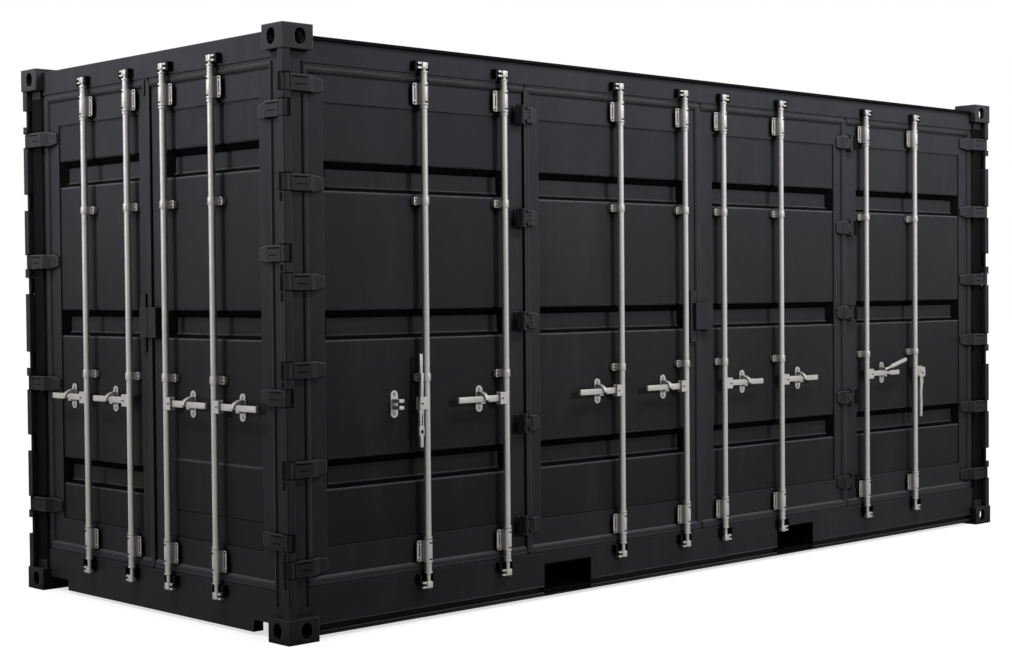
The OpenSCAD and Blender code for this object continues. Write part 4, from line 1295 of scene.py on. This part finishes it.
@dataclass(frozen=True)
class Zinc:
    """Hot dip zinc with faint crystals and rubbed streaks, a painted highlight on edges and painted shade where
    closed in.
    """

    name: str
    light: Colour = (0.45, 0.445, 0.43)
    dark: Colour = (0.33, 0.325, 0.31)
    roughness: float = 0.46
    metallic: float = 0.45

    def build(self) -> bpy.types.Material:
        """Make the material.

        Returns:
            The material.
        """
        mix = Recipe(self.name)
        crystal = mix.wire(mix.cells(110.0).outputs["Color"])
        cloud = mix.noise(9.0, 4.0, 0.6)
        streak = mix.noise(60.0, 3.0, 0.6, mix.stretched((1.0, 1.0, 0.06)))
        edge, soft = mix.edges(0.003)
        share = (crystal * 0.15 + cloud * 0.5 + streak * 0.35).rise(0.2, 0.8)
        tone = mix.blend(share, self.dark, self.light)
        # Painted highlight on edges, then painted shade where other surfaces close the zinc in.
        tone = mix.blend(edge * 0.35, tone, (0.62, 0.62, 0.60))
        tone = mix.blend(mix.crevice(0.05).rise(0.35, 0.9) * 0.7, tone, (0.02, 0.02, 0.02))
        return mix.finish(
            Base_Color=tone,
            Metallic=self.metallic,
            Roughness=(self.roughness + (crystal - 0.5) * 0.06 + (streak - 0.5) * 0.10).clamped(),
            Normal=mix.bump(mix.noise(240.0, 2.0) * 0.5 + cloud * 0.5, 0.0001, soft))


@dataclass(frozen=True)
class Rubber:
    """Matt black door rubber with a fine skin, a little dust, painted highlights on edges and top, and painted
    shade in crevices.
    """

    name: str
    colour: Colour = (0.021, 0.0214, 0.0245)

    def build(self) -> bpy.types.Material:
        """Make the material.

        Returns:
            The material.
        """
        mix = Recipe(self.name)
        cloud = mix.noise(7.0, 4.0, 0.6)
        skin = mix.noise(420.0, 2.0, 0.5)
        dust = mix.noise(26.0, 4.0, 0.7)
        edge, soft = mix.edges(0.003)
        tone = mix.blend(cloud.rise(0.3, 0.7), tuple(0.75 * c for c in self.colour),
                         tuple(1.25 * c for c in self.colour))
        # Real dust, and a painted highlight on edges.
        tone = mix.blend((dust.rise(0.5, 0.85) * 0.16 + edge * 0.12).clamped(), tone, (0.085, 0.087, 0.094))
        split = mix.node("ShaderNodeSeparateXYZ", sockets={0: soft})
        # Painted highlight on surfaces that face up, varied by the dust.
        top_highlight = mix.wire(split.outputs["Z"]).rise(0.25, 0.85) * (0.45 + dust * 0.5)
        tone = mix.blend((top_highlight + edge * 0.3).clamped(), tone, (0.095, 0.096, 0.106))
        # Painted shade where other surfaces close the rubber in.
        tone = mix.blend(mix.crevice(0.03).rise(0.3, 0.8) * 0.8, tone, (0.002, 0.002, 0.002))
        return mix.finish(
            Base_Color=tone,
            Specular_IOR_Level=0.1,
            Roughness=(0.6 + (cloud - 0.5) * 0.2).clamped(),
            Normal=mix.bump(skin, 0.0002, soft))


@dataclass(frozen=True)
class Plywood:
    """Sealed floor plywood with grain along the container."""

    name: str
    light: Colour = (0.33, 0.20, 0.105)
    dark: Colour = (0.17, 0.092, 0.045)

    def build(self) -> bpy.types.Material:
        """Make the material.

        Returns:
            The material.
        """
        mix = Recipe(self.name)
        long_grain = mix.stretched((0.5, 9.0, 9.0))
        warp = mix.noise(1.6, 3.0, 0.5, long_grain)
        grain = mix.noise(7.0, 6.0, 0.65, long_grain)
        fine = mix.noise(60.0, 3.0, 0.6, mix.stretched((0.06, 1.0, 1.0)))
        ring = ((warp * 9.0).math("FRACT", warp * 9.0) * 0.5 + grain * 0.5).rise(0.2, 0.8)
        tone = mix.blend(ring, self.light, self.dark)
        tone = mix.blend(mix.noise(1.1, 5.0, 0.6).rise(0.45, 0.8) * 0.5, tone, (0.085, 0.055, 0.034))
        tone = mix.blend(fine.rise(0.62, 0.8) * 0.35, tone, (0.07, 0.04, 0.022))
        return mix.finish(
            Base_Color=tone,
            Roughness=(0.48 + (grain - 0.5) * 0.25).clamped(),
            Normal=mix.bump(fine * 0.6 + grain * 0.4, 0.0006))


@dataclass
class Finishes:
    """The finish of every material slot."""

    made: dict[Slot, bpy.types.Material] = field(default_factory=dict)

    def build(self) -> None:
        """Make one material for each slot."""
        charcoal: Colour = (0.0295, 0.0302, 0.0345)
        pale: Colour = (0.120, 0.122, 0.136)
        recipes = {
            # The frame paint keeps about half of the painted shade towards the bottom.
            Slot.FRAME: Paint("frame_paint", tuple(1.08 * c for c in charcoal), pale, bottom_shade=0.55),
            # The sheet paint has wide painted highlights on its edges and painted shade on its band slopes.
            Slot.SHEET: Paint("sheet_paint", tuple(0.94 * c for c in charcoal), pale, edge_radius=0.011, edge_highlight=1.6,
                              slope_shade=0.92),
            # The casting's wide reach paints shade deep inside its holes.
            Slot.CAST: Paint("casting_paint", (0.040, 0.0405, 0.044), (0.15, 0.152, 0.165), roughness=0.5,
                             edge_radius=0.008, peel=0.0005, cast=0.9, edge_highlight=0.8, reach=0.17),
            # The hinge paint has a strong painted highlight on edges and weak painted shade in crevices.
            Slot.HINGE: Paint("hinge_paint", (0.036, 0.0368, 0.0415), (0.165, 0.168, 0.182), roughness=0.45,
                              edge_radius=0.008, peel=0.0003, cast=0.5, edge_highlight=0.9, crevice_shade=0.35),
            Slot.BLACK: Paint("keeper_paint", (0.011, 0.011, 0.012), (0.10, 0.10, 0.105), roughness=0.5, edge_highlight=0.9),
            Slot.UNDER: Paint("underseal", (0.0045, 0.0045, 0.005), (0.007, 0.007, 0.007), roughness=0.7,
                              peel=0.0008, cast=0.8, dusty=0.02),
            Slot.SEAL: Rubber("door_rubber"),
            Slot.ZINC: Zinc("lock_gear_zinc"),
            Slot.PLY: Plywood("floor_ply"),
        }
        for slot, recipe in recipes.items():
            self.made[slot] = recipe.build()
            LOG.info("finish %s for %s", self.made[slot].name, slot.value)

    def dress(self) -> None:
        """Give every CAD node the finish of its slot in the record."""
        for row in frame["record"]["subparts"]:
            node = frame["nodes"][row["node"]]
            node.data.materials.clear()
            node.data.materials.append(self.made[Slot(row["material_slot"])])
            LOG.info("node %s dressed in %s", row["node"], row["material_slot"])


@dataclass
class Studio:
    """Floor, world, lamps and camera."""

    floor_half: float = 60.0
    lens: float = 63.603
    softness: float = 1.8
    camera_at: Point = (-7.98984, -7.90844, 1.64530)
    camera_turn: Point = (88.60799, 0.49785, -43.60119)

    def build(self) -> None:
        """Make the whole studio."""
        bpy.context.scene.view_settings.view_transform = "Standard"
        self.floor()
        self.world()
        self.spot("side_key", (5.4, -21.0, 8.4), (1.6, -1.2, 6.0), 42.0, 15500.0)
        self.spot("end_key", (-21.0, 6.4, 7.6), (-3.0, 0.6, 5.3), 33.0, 15500.0)
        self.lamp("side_top", (0.9, -3.3, 5.5), (0.4, -1.2, 2.3), (6.4, 0.7), 210.0)
        self.lamp("end_top", (-4.9, 0.5, 5.1), (-3.0, 0.1, 2.3), (2.4, 0.7), 120.0)
        self.camera()

    def floor(self) -> None:
        """A pale floor that shows as white around the object and keeps its shadow, deepened near the object by a
        painted shadow in its glow.
        """
        bm = bmesh.new()
        bmesh.ops.create_grid(bm, x_segments=1, y_segments=1, size=self.floor_half)
        mesh = bpy.data.meshes.new("studio_floor")
        bm.to_mesh(mesh)
        bm.free()
        thing = bpy.data.objects.new("studio_floor", mesh)
        bpy.context.scene.collection.objects.link(thing)
        mix = Recipe("floor_white")
        path = mix.node("ShaderNodeLightPath")
        seen = (mix.wire(path.outputs["Is Camera Ray"]) + mix.wire(path.outputs["Is Glossy Ray"])
                + mix.wire(path.outputs["Is Transmission Ray"])).clamped()
        lit = mix.node("ShaderNodeBsdfDiffuse", sockets={"Color": (0.34, 0.34, 0.34)})
        away = mix.node("ShaderNodeVectorMath", {"operation": "LENGTH"}, {0: mix.stretched((0.55, 1.0, 1.0))})
        open_floor = mix.wire(away.outputs["Value"]).rise(1.6, 5.0) * 0.05 + 0.95
        # Painted shadow: the glow is weaker where the object closes the floor in.
        strength = open_floor * (1.0 - mix.crevice(0.5).rise(0.12, 0.8) * 0.3)
        glow = mix.node("ShaderNodeEmission", sockets={"Color": (1.0, 1.0, 1.0), "Strength": strength})
        both = mix.node("ShaderNodeAddShader", sockets={0: lit.outputs[0], 1: glow.outputs[0]})
        dull = mix.node("ShaderNodeBsdfDiffuse", sockets={"Color": (0.2, 0.2, 0.2)})
        pick = mix.node("ShaderNodeMixShader", sockets={0: seen, 1: dull.outputs[0], 2: both.outputs[0]})
        mix.put(mix.out.inputs["Surface"], pick.outputs[0])
        mix.tree.nodes.remove(mix.shader)
        mesh.materials.append(mix.material)

    def world(self) -> None:
        """White to the camera, and a sky that is brighter above for the light."""
        world = bpy.data.worlds.new("studio_world")
        bpy.context.scene.world = world
        world.use_nodes = True
        tree = world.node_tree
        tree.nodes.clear()
        out = tree.nodes.new("ShaderNodeOutputWorld")
        path = tree.nodes.new("ShaderNodeLightPath")
        camera = Wire(tree, path.outputs["Is Camera Ray"])
        seen = (camera + Wire(tree, path.outputs["Is Glossy Ray"])
                + Wire(tree, path.outputs["Is Transmission Ray"])).clamped()
        place = tree.nodes.new("ShaderNodeTexCoord")
        split = tree.nodes.new("ShaderNodeSeparateXYZ")
        tree.links.new(place.outputs["Generated"], split.inputs[0])
        sky = Wire(tree, split.outputs["Z"]).rise(-0.1, 0.9) * 0.10 + 0.015
        strength = seen + (1.0 - seen) * sky
        back = tree.nodes.new("ShaderNodeBackground")
        back.inputs["Color"].default_value = (1.0, 1.0, 1.0, 1.0)
        tree.links.new(strength.socket, back.inputs["Strength"])
        tree.links.new(back.outputs[0], out.inputs["Surface"])

    def lamp(self, name: str, at: Point, to: Point, size: tuple[float, float], power: float) -> None:
        """Hang one softbox.

        Args:
            name: Its name.
            at: Its middle.
            to: The point it faces.
            size: Width and height.
            power: Watts.
        """
        data = bpy.data.lights.new(name, "AREA")
        data.shape = "RECTANGLE"
        data.size, data.size_y = size
        data.energy = power
        self.hang(data, at, to)

    def spot(self, name: str, at: Point, to: Point, cone: float, power: float) -> None:
        """Hang one round softbox with a cone that fades to its rim.

        Args:
            name: Its name.
            at: Its middle.
            to: The point it faces.
            cone: Full angle of the cone in degrees.
            power: Watts.
        """
        data = bpy.data.lights.new(name, "SPOT")
        data.energy = power
        data.spot_size = math.radians(cone)
        data.spot_blend = 1.0
        data.shadow_soft_size = self.softness
        self.hang(data, at, to)

    @staticmethod
    def hang(data: bpy.types.Light, at: Point, to: Point) -> None:
        """Place one lamp.

        Args:
            data: The lamp.
            at: Its middle.
            to: The point it faces.
        """
        thing = bpy.data.objects.new(data.name, data)
        thing.location = at
        thing.rotation_euler = (Vector(to) - Vector(at)).to_track_quat("-Z", "Y").to_euler()
        bpy.context.scene.collection.objects.link(thing)

    def camera(self) -> None:
        """Set the camera at the photograph's view."""
        data = bpy.data.cameras.new("photo_camera")
        data.sensor_fit = "HORIZONTAL"
        data.sensor_width = 36.0
        data.lens = self.lens
        data.clip_end = 300.0
        thing = bpy.data.objects.new("photo_camera", data)
        thing.location = self.camera_at
        thing.rotation_euler = Euler([math.radians(a) for a in self.camera_turn], "XYZ")
        bpy.context.scene.collection.objects.link(thing)
        bpy.context.scene.camera = thing


def rod_pair(node: str, share: float, face: Face) -> tuple[float, float]:
    """Find the two rods of one leaf.

    Args:
        node: The leaf's panel.
        share: Part of the way from the inner rod to the panel's outer end where the other rod stands.
        face: The door face.

    Returns:
        Distances of the inner and the outer rod from the middle of the face.
    """
    span = sorted(abs(v.y if face is Face.END else v.x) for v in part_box(node))
    inner = span[0] + ROD_LAND
    return inner, inner + share * (span[1] - inner)


def door_leaves() -> list[Leaf]:
    """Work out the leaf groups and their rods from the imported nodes.

    Returns:
        The far end leaf, the near end leaf and the side leaves.
    """
    end_in, end_out = rod_pair("near_leaf_panel", END_ROD_SHARE, Face.END)
    side_e, side_c = rod_pair("side_leaf_3_panel", SIDE_ROD_SHARE, Face.SIDE)
    side_b, side_a = rod_pair("side_leaf_4_panel", SIDE_ROD_SHARE, Face.SIDE)
    far, near, left, right = (0.213, 0.3546), (0.172, 0.3546), (0.150, 0.337), (0.219, 0.3546)
    far_rods = (Rod(-end_out, -1, *far), Rod(-end_in, -1, *far))
    near_rods = (Rod(end_in, 1, *near), Rod(end_out, 1, *near))
    side_rods = (Rod(-side_a, -1, 0.172, 0.337, Hold.STRAPPED), Rod(-side_b, -1, *left), Rod(-side_c, -1, *left),
                 Rod(-side_e, -1, *left), Rod(side_e, 1, *right), Rod(side_c, 1, *right),
                 Rod(side_b, 1, 0.231, 0.3546, Hold.RAISED), Rod(side_a, 1, *right, Hold.HUNG))
    end_low, end_high = (v.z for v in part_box("far_leaf_frame"))
    side_low, side_high = (v.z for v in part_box("side_leaf_1_frame"))
    return [
        Leaf("far_leaf", Face.END, Body.FAR_DOOR, far_rods, end_low - LEAF_GAP, end_high + LEAF_GAP),
        Leaf("near_leaf", Face.END, Body.NEAR_DOOR, near_rods, end_low - LEAF_GAP, end_high + LEAF_GAP),
        Leaf("side", Face.SIDE, Body.SHELL, side_rods, side_low - LEAF_GAP, side_high + LEAF_GAP),
    ]


def main() -> None:
    """Build the finishes, the fittings and the studio in order."""
    logging.basicConfig(level=logging.INFO, format="%(name)s: %(message)s")
    finishes = Finishes()
    finishes.build()
    finishes.dress()
    far, near, side = door_leaves()
    LockGear(far, ("far_leaf_brackets",), "far_leaf_handles").build(finishes)
    LockGear(near, ("near_leaf_brackets",), "near_leaf_handles").build(finishes)
    LockGear(side, ("side_lock_brackets", "side_handle_catches"), "side_handles").build(finishes)
    RecessEdges(far, "far_leaf_panel", far.bands(END_BAND_IN)).build(finishes)
    RecessEdges(near, "near_leaf_panel", near.bands(END_BAND_IN)[1:]).build(finishes)
    for n in range(1, 5):
        RecessEdges(side, f"side_leaf_{n}_panel", side.bands(SIDE_BAND_IN)).build(finishes)
    for leaf, rows, sides in ((far, END_HINGES, (-1,)), (near, END_HINGES, (1,)), (side, SIDE_HINGES, (-1, 1))):
        Hinges(leaf, rows, sides).build(finishes)
    spans = [tuple(sorted((lo.x, hi.x))) for lo, hi in (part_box(f"side_leaf_{n}_frame") for n in range(1, 5))]
    FoldHinges(side, spans[3][0] - LEAF_GAP, side.low + LEAF_GAP, side.high - LEAF_GAP).build(finishes)
    for leaf, node, at_left in ((far, "far_leaf_frame", True), (near, "near_leaf_frame", False)):
        lo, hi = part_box(node)
        SealLips(leaf, ((-hi.y, -lo.y, at_left, True),)).build(finishes)
    beads = ((True, False), (True, True), (False, True), (False, True))
    SealLips(side, tuple(span + bead for span, bead in zip(spans, beads))).build(finishes)
    CornerWelds().build(finishes)
    FloorScrews().build(finishes)
    RailHighlights().build(finishes)
    ColumnMarks(END_HINGES, SIDE_HINGES).build(finishes)
    Studio().build()


if __name__ == "__main__":
    main()
